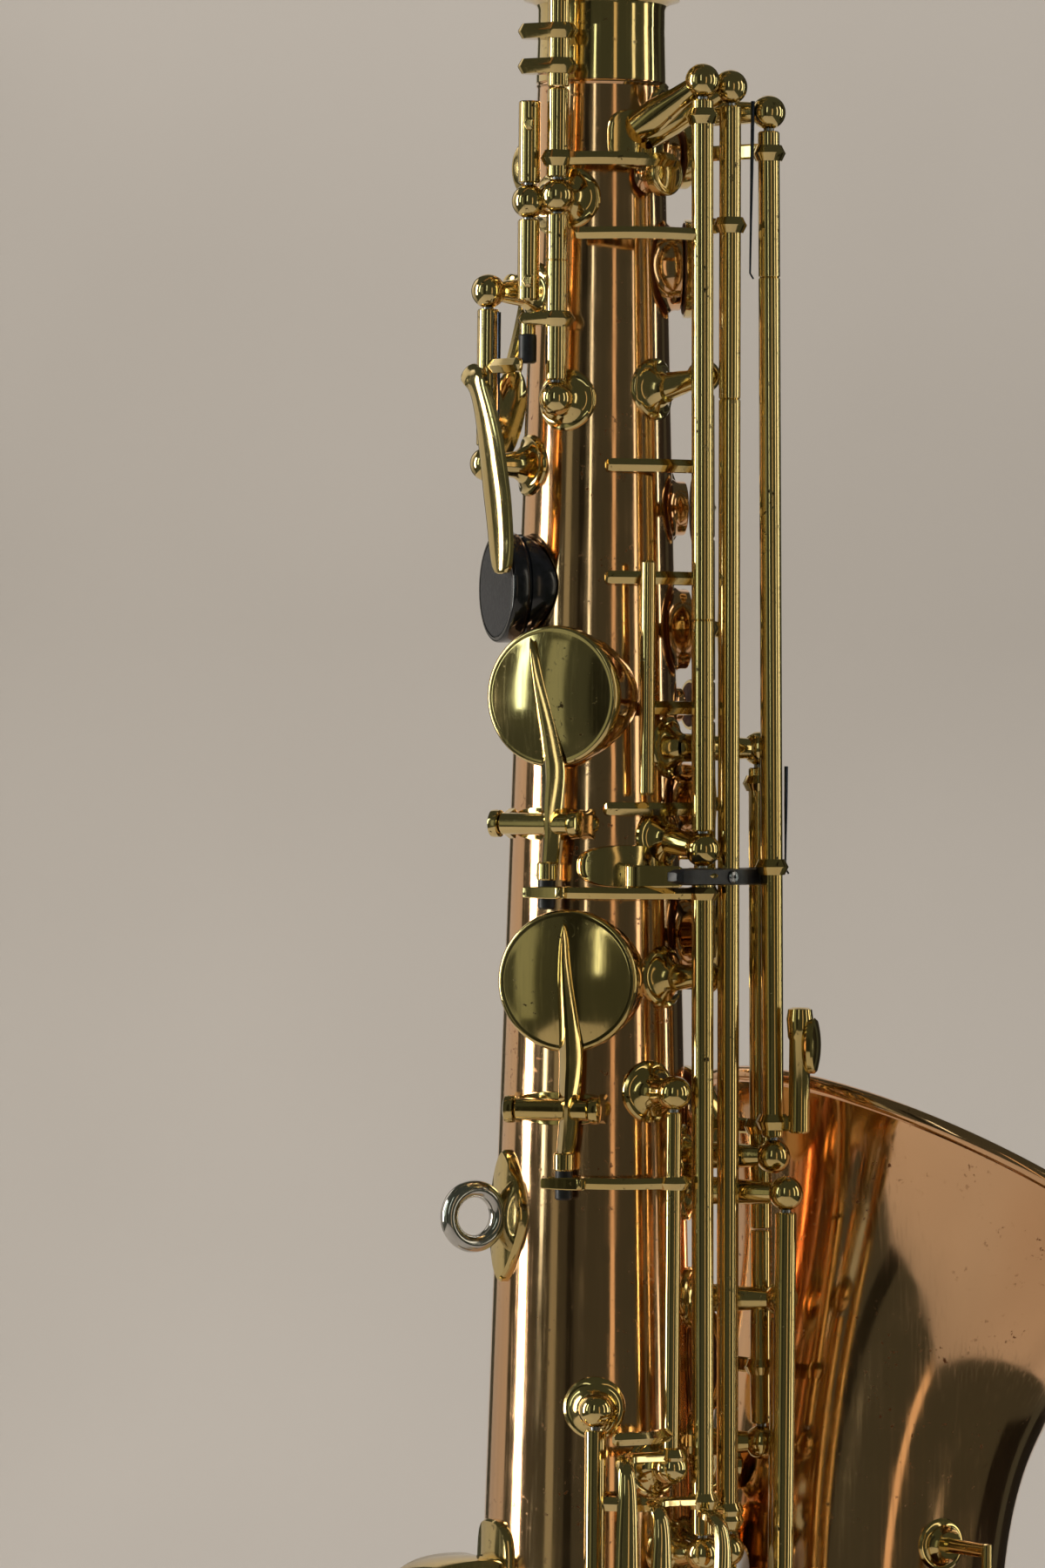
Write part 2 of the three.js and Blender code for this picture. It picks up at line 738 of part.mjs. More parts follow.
// A saddle with two ears and their pins.
function saddle(angle, radius, height, length, shift = 0) {
  const side = around(angle);
  const out = outward(angle);
  const skin = tubeRadius(height);
  const ears = [-1, 1].flatMap((hand) => {
    const place = shift + hand * (length / 2 + touchGap + saddleWall / 2);
    const hinge = polar(angle, radius, height).addScaledVector(side, place);
    const low = polar(angle, skin - saddleDepth, height).addScaledVector(side, place);
    const middle = hinge.clone().add(low).divideScalar(2);
    const tall = hinge.distanceTo(low);
    const inner = hinge.clone().addScaledVector(side, -hand * (saddleWall / 2 + pinReach));
    return [
      block(middle, [saddleWall, tall, 2 * stemFootRadius], side, out),
      bar(
        hinge.clone().addScaledVector(side, (hand * -saddleWall) / 2),
        hinge.clone().addScaledVector(side, (hand * saddleWall) / 2),
        hingeRadius + saddleWall / 4,
      ),
      bar(hinge, inner, pinRadius, pinSides),
    ];
  });
  const width = length + 2 * (2 * touchGap + saddleWall);
  const tall = saddleDepth + footRise;
  const base = block(
    polar(angle, skin + footRise - tall / 2, height).addScaledVector(side, shift),
    [width, tall, 3 * stemFootRadius],
    side,
    out,
  );
  return join(base, ...ears);
}

// The side C and side B flat cups rock on a saddle: cup above, sleeved tail below.
const rockingTable = {
  sideC: { label: 'side_c', hingeShare: 0.6174, tailShare: 0.5898 },
  sideBb: { label: 'side_b_flat', hingeShare: 0.5026, tailShare: 0.4732 },
};
const sleeveRadius = 1.9;
const sleeveHalf = 3.6;
const fork = { thickness: 2.6, play: 0.5, slide: 2, prong: 1.2 };
const cupOpening = 8;

function rockingPlace(name) {
  const { hingeShare, tailShare } = rockingTable[name];
  const height = heightOf(hingeShare);
  const radius = tubeRadius(height) + saddleRise;
  return { hole: holes[name], height, radius, tail: heightOf(tailShare) };
}

function rockingCup(name) {
  const { hole, height, radius, tail } = rockingPlace(name);
  const angle = holeTable[name].angle;
  const top = tubeRadius(hole.rim.z) + chimneyRise + touchGap + cupHeight + armRise;
  const edge = hole.radius + cupMargin;
  const path = [
    [height, radius],
    [hole.rim.z - edge, top],
    [hole.rim.z + edge / 3, top],
  ];
  const { tube, bores } = crossTube(angle, radius, height, rockerTubeLength, rockerShift);
  const tailTop = [
    [height, radius],
    [tail + sleeveHalf, radius],
  ];
  const sleeve = bar(
    polar(angle, radius, tail - sleeveHalf),
    polar(angle, radius, tail + sleeveHalf + armRise),
    sleeveRadius,
  );
  const solids = [
    tube,
    cup(hole),
    upright(angle, path, armThickness, armWidth),
    upright(angle, tailTop, armThickness, armWidth),
    sleeve,
  ];
  return cut(join(...solids), ...bores);
}

// The arm of a side lever: from its hinge tube round to a fork on the sleeve of the rocking cup.
function forkArm(line, name) {
  const { radius, tail } = rockingPlace(name);
  const angle = holeTable[name].angle;
  const from = lines[line];
  const side = around(angle);
  const out = outward(angle);
  const half = sleeveRadius + fork.play;
  const closed = sleeveRadius + fork.slide;
  const back = closed + armThickness;
  const heart = polar(angle, radius, tail);
  const midRadius = (lineRadius(from, tail) + radius) / 2 + armThickness;
  const middle = polar((from.angle + angle) / 2, midRadius, 0);
  const end = polar(angle, radius, 0).addScaledVector(side, (closed + back) / 2);
  const strap = levelStrap([onLine(from, tail), middle, end], armThickness, fork.thickness, tail);
  const head = block(
    heart.clone().addScaledVector(side, (back - half) / 2),
    [back + half, 2 * (half + fork.prong), fork.thickness],
    side,
    out,
  );
  const slot = block(
    heart.clone().addScaledVector(side, (closed - half - overrun) / 2),
    [closed + half + overrun, 2 * half, fork.thickness + overrun],
    side,
    out,
  );
  return cut(join(strap, head), slot);
}

// A touch piece: an oval plate that hangs by a drop below its arm from a hinge line.
function touch(line, share, { angle, radius, halfLong, halfWide, drop = 0 }) {
  const face = plate(
    polar(angle, radius, heightOf(share) - drop),
    outward(angle),
    halfLong,
    halfWide,
    armThickness,
  );
  return [face, sideArm(lines[line], share, [[angle, radius]])];
}

const sideTouch = { halfLong: 16, halfWide: 3.2, radius: 40.5, drop: 13 };
const sideCTouchShare = 0.345;
const sideBbTouchShare = 0.372;
const highETouchShare = 0.34;

function sideCLever() {
  return hingedKey({
    line: 'sideC',
    lowShare: 0.3314,
    highShare: 0.6001,
    added: [
      forkArm('sideC', 'sideC'),
      ...touch('sideC', sideCTouchShare, { angle: -11, ...sideTouch }),
    ],
  });
}

function sideBbLever() {
  return hingedKey({
    line: 'sideBb',
    lowShare: 0.3662,
    highShare: 0.5017,
    added: [
      forkArm('sideBb', 'sideBb'),
      ...touch('sideBb', sideBbTouchShare, { angle: -22, ...sideTouch }),
    ],
  });
}

function highEKey() {
  return hingedKey({
    line: 'highE',
    lowShare: 0.3318,
    highShare: 0.9087,
    cups: [{ hole: 'highE', armShare: 0.8604 }],
    added: touch('highE', highETouchShare, { angle: 12, ...sideTouch }),
  });
}

const highFSharpTouch = { angle: 41, out: 6.2, lowShare: 0.4966, highShare: 0.544 };
const highFSharpLeaf = { share: 0.5283, out: 2.8, halfLong: 6, halfWide: 4.2 };

function highFSharpKey() {
  const { angle, out, lowShare, highShare } = highFSharpTouch;
  const low = heightOf(lowShare);
  const radius = lineRadius(lines.highFSharp, low) + out;
  const leaf = highFSharpLeaf;
  const riser = bar(
    polar(angle, radius, low - armWidth / 2),
    polar(angle, radius, heightOf(highShare)),
    stemFootRadius,
  );
  const face = plate(
    polar(angle, radius + leaf.out, heightOf(leaf.share)),
    outward(angle),
    leaf.halfLong,
    leaf.halfWide,
    armThickness,
  );
  return hingedKey({
    line: 'highFSharp',
    lowShare: 0.4908,
    highShare: 0.8994,
    cups: [{ hole: 'highFSharp' }],
    added: [sideArm(lines.highFSharp, lowShare, [[angle, radius]]), riser, face],
  });
}

// The upper stack hangs on one line behind the side rods. Some keys have a stop arm that comes to
// rest over the tube, and the bis key has an arm with a long link bar for the fingers below it.
const stopArm = { bendAngle: 6, endAngle: -23, clear: 3.4 };
const linkBar = { angle: -5, radius: 25, lowShare: 0.6293, highShare: 0.724, armShare: 0.6647 };

function stopArmAt(share) {
  const reach = tubeRadius(heightOf(share)) + stopArm.clear;
  return sideArm(lines.upper, share, [
    [stopArm.bendAngle, reach + armThickness],
    [(stopArm.bendAngle + stopArm.endAngle) / 2, reach + armRise],
    [stopArm.endAngle, reach],
  ]);
}

function linkBarSolids() {
  const { angle, radius, lowShare, highShare, armShare } = linkBar;
  const low = polar(angle, radius, heightOf(lowShare));
  const high = polar(angle, radius, heightOf(highShare));
  return [sideArm(lines.upper, armShare, [[angle, radius]]), bar(low, high, stemRadius)];
}

const upperStack = [
  { name: 'c_vent_key', hole: 'cVent', lowShare: 0.7339, highShare: 0.7921, stopShares: [0.7628] },
  { name: 'b_key', hole: 'b', lowShare: 0.676, highShare: 0.7333, pearled: true, stopShares: [0.7173] },
  { name: 'bis_key', hole: 'bis', lowShare: 0.66, highShare: 0.6754, armShare: 0.6647, linked: true },
  { name: 'a_key', hole: 'a', lowShare: 0.6043, highShare: 0.6594, pearled: true, stopShares: [0.6238] },
  { name: 'g_key', hole: 'g', lowShare: 0.563, highShare: 0.6037, pearled: true, stopShares: [] },
];

function upperStackKey({ hole, lowShare, highShare, armShare, pearled, stopShares = [], linked }) {
  const added = stopShares.map(stopArmAt);
  if (linked) added.push(...linkBarSolids());
  const cups = [{ hole, armShare, pearled }];
  return hingedKey({ line: 'upper', lowShare, highShare, cups, added });
}

// A lower stack key has its pearl on the arm, clear of the bell.
const lowerPearl = { angle: 46, lift: 1 };
const lowerStack = [
  { name: 'f_key', hole: 'f', lowShare: 0.2832, highShare: 0.3166 },
  { name: 'e_key', hole: 'e', lowShare: 0.2155, highShare: 0.2826 },
  { name: 'd_key', hole: 'd', lowShare: 0.1544, highShare: 0.2149 },
];

function lowerStackKey({ hole, lowShare, highShare }) {
  const centre = holes[hole].rim.z;
  const skin = tubeRadius(centre) + chimneyRise + touchGap + cupHeight;
  const out = outward(lowerPearl.angle);
  const foot = polar(lowerPearl.angle, skin + lowerPearl.lift, centre);
  const under = polar(lowerPearl.angle, skin - 2 * armThickness, centre);
  const stalk = bar(under, foot.clone().addScaledVector(out, lowerPearl.lift), stemFootRadius);
  return hingedKey({
    line: 'lower',
    lowShare,
    highShare,
    cups: [{ hole }],
    added: [pearl(foot, out), stalk],
  });
}

// A palm key rocks on a saddle: cup above, a leaf for the palm below.
const palmTable = {
  palmD: { label: 'palm_d', hingeShare: 0.766, touchShare: 0.722 },
  palmEFlat: { label: 'palm_e_flat', hingeShare: 0.7981, touchShare: 0.752 },
  palmF: { label: 'palm_f', hingeShare: 0.838, touchShare: 0.785 },
};
const palmTubeLength = 8;
const palmTouch = { halfLong: 11, halfWide: 5.5, rise: 14 };

function palmPlace(name) {
  const height = heightOf(palmTable[name].hingeShare);
  return {
    angle: holeTable[name].angle,
    height,
    radius: tubeRadius(height) + saddleRise,
    touchHeight: heightOf(palmTable[name].touchShare),
  };
}

function palmKey(name) {
  const { angle, height, radius, touchHeight } = palmPlace(name);
  const hole = holes[name];
  const top = tubeRadius(hole.rim.z) + chimneyRise + touchGap + cupHeight + armRise;
  const touchRadius = tubeRadius(touchHeight) + palmTouch.rise;
  const { tube, bores } = crossTube(angle, radius, height, palmTubeLength);
  const arm = upright(
    angle,
    [
      [touchHeight, touchRadius],
      [height - hingeRadius, radius + armRise],
      [height + hingeRadius, radius + armRise],
      [hole.rim.z - hole.radius - cupMargin, top],
      [hole.rim.z + hole.radius / 2, top],
    ],
    armThickness,
    armWidth,
  );
  const tilt = Math.atan2(touchRadius - radius, height - touchHeight);
  const [along, across] = [Math.cos(tilt), Math.sin(tilt)];
  const out = outward(angle);
  const leaf = plate(
    polar(angle, touchRadius, touchHeight),
    out.clone().multiplyScalar(along).addScaledVector(zAxis, across),
    palmTouch.halfLong,
    palmTouch.halfWide,
    armThickness,
    zAxis.clone().multiplyScalar(along).addScaledVector(out, -across),
  );
  return cut(join(tube, arm, cup(hole), leaf), ...bores);
}

// Octave mechanism. Its thumb leaf lies beside the thumb line, over the top of the thumb rest.
const thumbLeaf = { angle: -83, radius: 28, halfLong: 20, halfWide: 4.6, share: 0.7566 };
const thumbLeafArmShare = 0.785;
const octavePush = { share: 0.8025, bendAngle: -88, endAngle: -74 };
const octaveFlangeShare = 0.8213;
const octavePin = { angle: -76, radius: 22.6, lowShare: 0.808 };

function octaveLever() {
  const line = lines.thumb;
  const { angle, radius, halfLong, halfWide, share } = thumbLeaf;
  const push = sideArm(line, octavePush.share, [
    [octavePush.bendAngle, radius - armThickness / 2],
    [octavePush.endAngle, radius - armThickness / 2],
  ]);
  const middle = polar(angle, radius, heightOf(share));
  const face = plate(middle, outward(angle), halfLong, halfWide, armThickness);
  const neck = sideArm(line, thumbLeafArmShare, [[angle, radius]], 2 * armWidth);
  return hingedKey({ line: 'thumb', lowShare: 0.7706, highShare: 0.826, added: [push, face, neck] });
}

const rockerArm = { angle: -72, rocker: 0.8365, link: 0.9, bossRadius: 2, bossHeight: 3.6 };

// The arm of a key on the rocker line, with a round boss at its end.
function rockerArmSolids(share) {
  const { angle, bossRadius, bossHeight } = rockerArm;
  const radius = lines.rocker.foot + armThickness;
  const low = polar(angle, radius, heightOf(share) - bossHeight / 2);
  const boss = bar(low, low.clone().setZ(low.z + bossHeight), bossRadius, smallSides);
  return [sideArm(lines.rocker, share, [[angle, radius]]), boss];
}

function octaveRocker() {
  const added = rockerArmSolids(rockerArm.rocker);
  return hingedKey({ line: 'rocker', lowShare: 0.829, highShare: 0.8616, through: true, added });
}

function octaveLink() {
  const added = rockerArmSolids(rockerArm.link);
  return hingedKey({ line: 'rocker', lowShare: 0.8764, highShare: 0.9095, through: true, added });
}

function octaveBalance() {
  const { angle, radius, lowShare } = octavePin;
  const arm = sideArm(lines.vent, octaveFlangeShare, [[angle, radius]]);
  const pin = bar(
    polar(angle, radius, heightOf(lowShare)),
    polar(angle, radius, heightOf(octaveFlangeShare)),
    stemRadius,
  );
  return hingedKey({ line: 'vent', lowShare: 0.7966, highShare: 0.8637, added: [arm, pin] });
}

const transferArm = { share: 0.8558, bendAngle: -12, endAngle: -45, endRadius: 21.4 };
const transferFoot = { share: 0.6225, angle: 23, radius: 29.2 };

function octaveTransfer() {
  const line = lines.sideC;
  const { share, bendAngle, endAngle, endRadius } = transferArm;
  const bendRadius = lineRadius(line, heightOf(share)) - armThickness;
  return hingedKey({
    line: 'sideC',
    lowShare: 0.6149,
    highShare: 0.9102,
    added: [
      sideArm(line, share, [
        [bendAngle, bendRadius],
        [endAngle, endRadius],
      ]),
      sideArm(line, transferFoot.share, [[transferFoot.angle, transferFoot.radius]]),
    ],
  });
}

const bodyOctaveShare = 0.8862;

function bodyOctaveKey() {
  const { rim } = holes.octave;
  const top = tubeRadius(rim.z) + chimneyRise + touchGap + cupHeight;
  const over = top + armRise;
  const arm = sideArm(lines.vent, bodyOctaveShare, [
    [-40, over],
    [-20, over],
    [0, over],
    [holeTable.octave.angle, top],
  ]);
  return hingedKey({ line: 'vent', lowShare: 0.8785, highShare: 0.9143, added: [arm, cup(holes.octave)] });
}

const neckPin = { angle: -46, lowShare: 0.95, armShare: 0.955, topShare: 1.036 };
const actuatorArmShares = [0.9235, 0.9377];

function neckOctaveActuator() {
  const line = lines.vent;
  const radius = line.foot + armThickness;
  const { angle, lowShare, armShare, topShare } = neckPin;
  const pin = bar(
    polar(angle, radius, heightOf(lowShare)),
    polar(angle, radius, heightOf(topShare)),
    stemRadius,
  );
  const arms = actuatorArmShares.map((share) =>
    sideArm(line, share, [[lines.rocker.angle, lines.rocker.foot]]),
  );
  return hingedKey({
    line: 'vent',
    lowShare: 0.915,
    highShare: 0.964,
    added: [sideArm(line, armShare, [[angle, radius]]), pin, ...arms],
  });
}

// Left hand table levers, low keys and the trill key
const tableTouch = { halfLong: 5.4, halfWide: 9, turn: 20, radius: 48, linkAngle: 94 };
const tableLevers = [
  { name: 'g_sharp_lever', lowShare: 0.5945, highShare: 0.6168, touchAngle: 142 },
  { name: 'low_b_lever', lowShare: 0.566, highShare: 0.5938, touchAngle: 145 },
  { name: 'low_b_flat_lever', lowShare: 0.538, highShare: 0.5653, touchAngle: 148 },
];

function tableLever({ lowShare, highShare, touchAngle }) {
  const line = lines.table;
  const { halfLong, halfWide, turn, radius, linkAngle } = tableTouch;
  const share = (lowShare + highShare) / 2;
  const link = sideArm(line, share, [[linkAngle, line.foot + armThickness]]);
  const arm = sideArm(line, share, [[touchAngle, radius]]);
  const face = plate(
    polar(touchAngle, radius, heightOf(share)),
    outward(touchAngle - turn),
    halfLong,
    halfWide,
    armThickness,
  );
  return hingedKey({ line: 'table', lowShare, highShare, added: [link, arm, face] });
}

const lowCSharpTouch = { share: 0.4755, angle: 144, facing: 118 };

function lowCSharpKey() {
  const { share, angle, facing } = lowCSharpTouch;
  const { halfLong, halfWide } = tableTouch;
  const line = lines.lowCSharp;
  const radius = line.foot + 2 * armThickness;
  const face = plate(
    polar(angle, radius, heightOf(share)),
    outward(facing),
    halfLong,
    halfWide,
    armThickness,
  );
  return hingedKey({
    line: 'lowCSharp',
    lowShare: 0.0568,
    highShare: 0.4865,
    cups: [{ hole: 'lowCSharp' }],
    added: [face, sideArm(line, share, [[angle, radius]])],
  });
}

const footTouch = { halfLong: 5, halfWide: 9 };
const eFlatTouchShare = 0.1352;
const lowCTouchShare = 0.116;

function eFlatKey() {
  const radius = lines.lower.foot + 4 * armThickness;
  return hingedKey({
    line: 'lower',
    lowShare: 0.0758,
    highShare: 0.1392,
    cups: [{ hole: 'eFlat' }],
    added: touch('lower', eFlatTouchShare, { angle: 20, radius, ...footTouch }),
  });
}

function lowCKey() {
  const share = bellHoleTable.lowC.heightShare;
  return hingedKey({
    line: 'bellLow',
    lowShare: -0.0526,
    highShare: 0.1337,
    cups: [{ hole: 'lowC', armShare: share }],
    added: touch('bellLow', lowCTouchShare, { angle: 28, radius: lines.bellLow.foot, ...footTouch }),
  });
}

const trillTouch = { share: 0.27, angle: -18, halfLong: 9, halfWide: 4 };
const trillArm = { share: 0.345, angle: -12 };

function trillKey() {
  const line = lines.trill;
  const { share, angle, halfLong, halfWide } = trillTouch;
  const radius = line.foot + 5 * armThickness;
  return hingedKey({
    line: 'trill',
    lowShare: 0.2342,
    highShare: 0.3745,
    added: [
      sideArm(line, trillArm.share, [[trillArm.angle, line.foot + 2 * armThickness]]),
      ...touch('trill', share, { angle, radius, halfLong, halfWide }),
    ],
  });
}

// Fixed pieces on the body

const ringWire = 1.9;
const ringRadius = 5.9;
const ringAngle = -95;
const ringShare = 0.4581;
const ringOut = 8;
const ringPlate = { halfLong: 14, halfWide: 6.2, thickness: 1.8 };

const ringHeight = heightOf(ringShare);
const ringCentre = polar(ringAngle, tubeRadius(ringHeight) + ringOut, ringHeight);

function strapRing() {
  const ring = new THREE.TorusGeometry(ringRadius, ringWire, hingeSides, largeSides);
  ring.rotateX(Math.PI / 2).rotateZ(radians(ringAngle) - Math.PI / 2);
  const skin = tubeRadius(ringHeight);
  const base = plate(
    polar(ringAngle, skin / 2 + ringPlate.thickness / 2, ringHeight),
    outward(ringAngle),
    ringPlate.halfLong,
    ringPlate.halfWide,
    skin + ringPlate.thickness,
  );
  return cut(join(solidOf(ring.translate(...ringCentre)), base), tubeSeat(touchGap));
}

const thumbRestSize = { share: 0.7134, angle: -104, radius: 12, rise: 6.2, neck: 10.9 };

function thumbRest() {
  const { share, angle, radius, rise, neck } = thumbRestSize;
  const height = heightOf(share);
  const skin = tubeRadius(height);
  const lip = rise / 2;
  const profile = [
    [0, 0],
    [neck, 0],
    [neck, skin + lip - rise / 4],
    [radius - rise / 6, skin + lip],
    [radius, skin + lip + rise / 6],
    [radius, skin + rise - rise / 6],
    [radius - rise / 6, skin + rise],
    [0, skin + rise],
  ];
  const disc = turned(profile, polar(angle, 0, height), outward(angle));
  return cut(disc, tubeSeat(touchGap));
}

const hook = { share: 0.3183, angle: -97, reach: 24, halfWide: 7.5, plateLong: 12, thickness: 2 };
const hookShares = { up: 0.5, over: 0.8, drop: 0.1, tip: 0.35 };
const hookScrew = { radius: 1.6, head: 3, rise: 1.6 };

function thumbHook() {
  const height = heightOf(hook.share);
  const skin = tubeRadius(height);
  const base = plate(
    polar(hook.angle, skin / 2 + hook.thickness / 2, height - hook.plateLong / 4),
    outward(hook.angle),
    hook.plateLong,
    hook.halfWide,
    skin + hook.thickness,
  );
  const arm = upright(
    hook.angle,
    [
      [height, skin],
      [height, skin + hookShares.up * hook.reach],
      [height - hookShares.drop * hook.reach, skin + hookShares.over * hook.reach],
      [height - hookShares.tip * hook.reach, skin + hook.reach],
    ],
    hook.thickness,
    2 * hook.halfWide,
  );
  const screwSeat = bar(
    polar(hook.angle, 0, height - hook.plateLong),
    polar(hook.angle, skin + 2 * hook.thickness, height - hook.plateLong),
    hookScrew.radius + 2 * touchGap,
  );
  return cut(join(base, arm), tubeSeat(touchGap), screwSeat);
}

function thumbHookScrew() {
  const height = heightOf(hook.share) - hook.plateLong;
  const skin = tubeRadius(height);
  const under = skin + hook.thickness + 2 * touchGap;
  const at = (radius) => polar(hook.angle, radius, height);
  const shank = bar(at(skin + touchGap), at(under + footDepth), hookScrew.radius);
  const head = bar(at(under), at(under + hookScrew.rise), hookScrew.head);
  return join(shank, head);
}

const guide = { share: 0.5966, thickness: 3.2, halfWide: 3.5, footTall: 8 };
const bracket = { footAngles: [-36, -20, -4, 10, 22], legAngle: -16, cornerAngle: -17, radius: 27.5 };

function guideOutline() {
  const height = heightOf(guide.share);
  const stops = [lines.sideC, lines.highE, lines.middle].map((line) => onLine(line, height));
  const [first, , last] = stops;
  const way = stops[1].clone().sub(first).normalize();
  const start = first.clone().addScaledVector(way, -2 * guide.halfWide);
  const beyond = last.clone().sub(stops[1]).normalize();
  const end = last.clone().addScaledVector(beyond, guide.halfWide);
  return { start, stops, end, height };
}

function rodGuide() {
  const { start, stops, end, height } = guideOutline();
  const strap = levelStrap([start, ...stops, end], 2 * guide.halfWide, guide.thickness, height);
  const room = [...stops, onLine(lines.upper, height)];
  const rods = room.map((stop) =>
    bar(
      stop.clone().setZ(height - 2 * guide.thickness),
      stop.clone().setZ(height + 2 * guide.thickness),
      hingeRadius + 2 * touchGap,
      smallSides,
    ),
  );
  return cut(strap, rods);
}

// The bracket of the rod guide: a plate bent round the tube, a leg and a strap to the guide.
function rodGuideBracket() {
  const { start, stops, end, height } = guideOutline();
  const skin = tubeRadius(height);
  const bend = bracket.footAngles.map((angle) => polar(angle, skin, 0));
  const plateSolid = levelStrap(bend, 2 * footRise, guide.footTall, height);
  const path = [
    polar(bracket.legAngle, skin, 0),
    polar(bracket.cornerAngle, bracket.radius, 0),
    start.clone().setZ(0),
  ];
  const arm = levelStrap(path, armThickness, guide.thickness, height);
  const room = levelStrap(
    [start, ...stops, end],
    2 * (guide.halfWide + touchGap),
    guide.thickness + 2 * touchGap,
    height,
  );
  return cut(join(plateSolid, arm), tubeSeat(touchGap), room);
}

// A wire guard over bell keys: legs from the bell's side carry one rail.
const guardWire = 1.5;
const guardClear = 14;
const bellKeyLegs = [0.115, 0.2264, 0.322];
const lowCSharpLegs = [0.03, 0.158];

function keyGuard(side, legShares) {
  const out = side * (bellThroatRadius + chimneyRise + guardClear);
  const heights = legShares.map(heightOf);
  const ends = heights.map((height) => new THREE.Vector3(bellDistance, out, height));
  const legs = ends.map((end) => {
    const foot = end.clone().setY(side * (bellThroatRadius - chimneyRise));
    const disc = end.clone().setY(side * (bellThroatRadius + footRise));
    return join(bar(foot, end, guardWire), bar(foot, disc, footRadius));
  });
  const rail = bar(ends[0], ends.at(-1), guardWire);
  return cut(join(rail, legs, ends.map((end) => ball(end, guardWire))), bellSeat(touchGap));
}

// Neck

const neckBase = heightOf(tubeTopShare);
const receiverLow = heightOf(0.9196);
const receiverHigh = heightOf(0.996);
const collarLow = heightOf(0.9538);
const lug = { long: 7, wide: 3.4, spread: 2.6, tall: 8, bore: 1.5, head: 3.6, headLong: 4 };
const lugDrop = 6;
const slitDepth = 26;
const receiverScrewX = -receiverCollarRadius - lug.long / 2;
const receiverScrewZ = receiverHigh - lugDrop;

function neckReceiver() {
  const low = new THREE.Vector3(0, 0, receiverLow);
  const high = new THREE.Vector3(0, 0, receiverHigh);
  const sleeve = bar(low, high, receiverRadius, tubeSides);
  const collar = bar(low.clone().setZ(collarLow), high, receiverCollarRadius, tubeSides);
  const lugs = [-1, 1].map((hand) =>
    block(
      new THREE.Vector3(receiverScrewX + tubeWall, hand * lug.spread, receiverScrewZ),
      [lug.long + tubeWall, lug.wide, lug.tall],
      xAxis,
      yAxis,
    ),
  );
  const slit = block(
    new THREE.Vector3(-receiverCollarRadius, 0, receiverHigh),
    [2 * lug.long, 2 * lug.spread - lug.wide, slitDepth],
    xAxis,
    yAxis,
  );
  const screwY = lug.spread + lug.wide;
  const screwHole = bar(
    new THREE.Vector3(receiverScrewX, -screwY, receiverScrewZ),
    new THREE.Vector3(receiverScrewX, screwY, receiverScrewZ),
    lug.bore + 2 * touchGap,
  );
  const under = low.clone().setZ(receiverLow - overrun);
  const step = low.clone().setZ(neckBase + touchGap);
  const wide = tubeRadius(under.z) + touchGap;
  const narrow = tubeRadius(step.z) + touchGap;
  const tubeBore = bar(under, step, wide, tubeSides, narrow);
  const over = high.clone().setZ(receiverHigh + overrun);
  const socket = bar(step, over, receiverBore, tubeSides);
  return cut(join(sleeve, collar, ...lugs), slit, screwHole, tubeBore, socket);
}

function receiverScrew() {
  const outside = lug.spread + lug.wide / 2;
  const onAxis = (y) => new THREE.Vector3(receiverScrewX, y, receiverScrewZ);
  const under = -outside - touchGap;
  const shank = bar(onAxis(outside + overrun), onAxis(under - overrun / 2), lug.bore);
  const head = bar(onAxis(under), onAxis(under - lug.headLong), lug.head, smallSides);
  return join(shank, head);
}

const neckTop = receiverHigh + neckRise;
const neckLevel = { shoulder: 0.25, collar: 0.2, loop: 0.33 };
const neckPath = new THREE.CurvePath();
const neckStart = new THREE.Vector3(0, 0, neckBase + 2 * touchGap);
const neckShoulder = new THREE.Vector3(0, 0, receiverHigh + neckRise * neckLevel.shoulder);
const neckEnd = new THREE.Vector3(-neckReach, 0, neckTop - neckDrop);
const neckExit = new THREE.Vector3(-Math.cos(radians(neckFall)), 0, -Math.sin(radians(neckFall)));
const neckTurn = neckEnd.clone().addScaledVector(neckExit, -corkLength);
neckPath.add(new THREE.LineCurve3(neckStart, neckShoulder));
neckPath.add(
  new THREE.CubicBezierCurve3(
    neckShoulder,
    new THREE.Vector3(0, 0, neckTop),
    neckTurn.clone().addScaledVector(neckExit, -neckRise),
    neckTurn,
  ),
);
neckPath.add(new THREE.LineCurve3(neckTurn, neckEnd));

const corkStartShare = 1 - corkLength / neckPath.getLength();

function neckRadius(share) {
  const tenonShare = (neckShoulder.z - neckStart.z) / neckPath.getLength();
  if (share < tenonShare) return neckTenonRadius;
  const way = (share - tenonShare) / (1 - tenonShare);
  return neckTenonRadius + (neckEndRadius - neckTenonRadius) * way;
}

const neckVentShare = 0.62;

function neckVentHole() {
  const point = neckPath.getPointAt(neckVentShare);
  const tangent = neckPath.getTangentAt(neckVentShare);
  const axis = tangent.clone().cross(yAxis).normalize();
  const facing = axis.z > 0 ? axis : axis.negate();
  const skin = neckRadius(neckVentShare);
  return {
    root: point,
    rim: point.clone().addScaledVector(facing, skin + chimneyRise),
    axis: facing,
    tangent,
    radius: holes.octave.radius,
  };
}

function neckRings() {
  const tenonShare = (neckShoulder.z - neckStart.z) / neckPath.getLength();
  return ringsAlong(neckPath, [0, ...evenShares(tenonShare, corkStartShare, 8), 1], neckRadius);
}

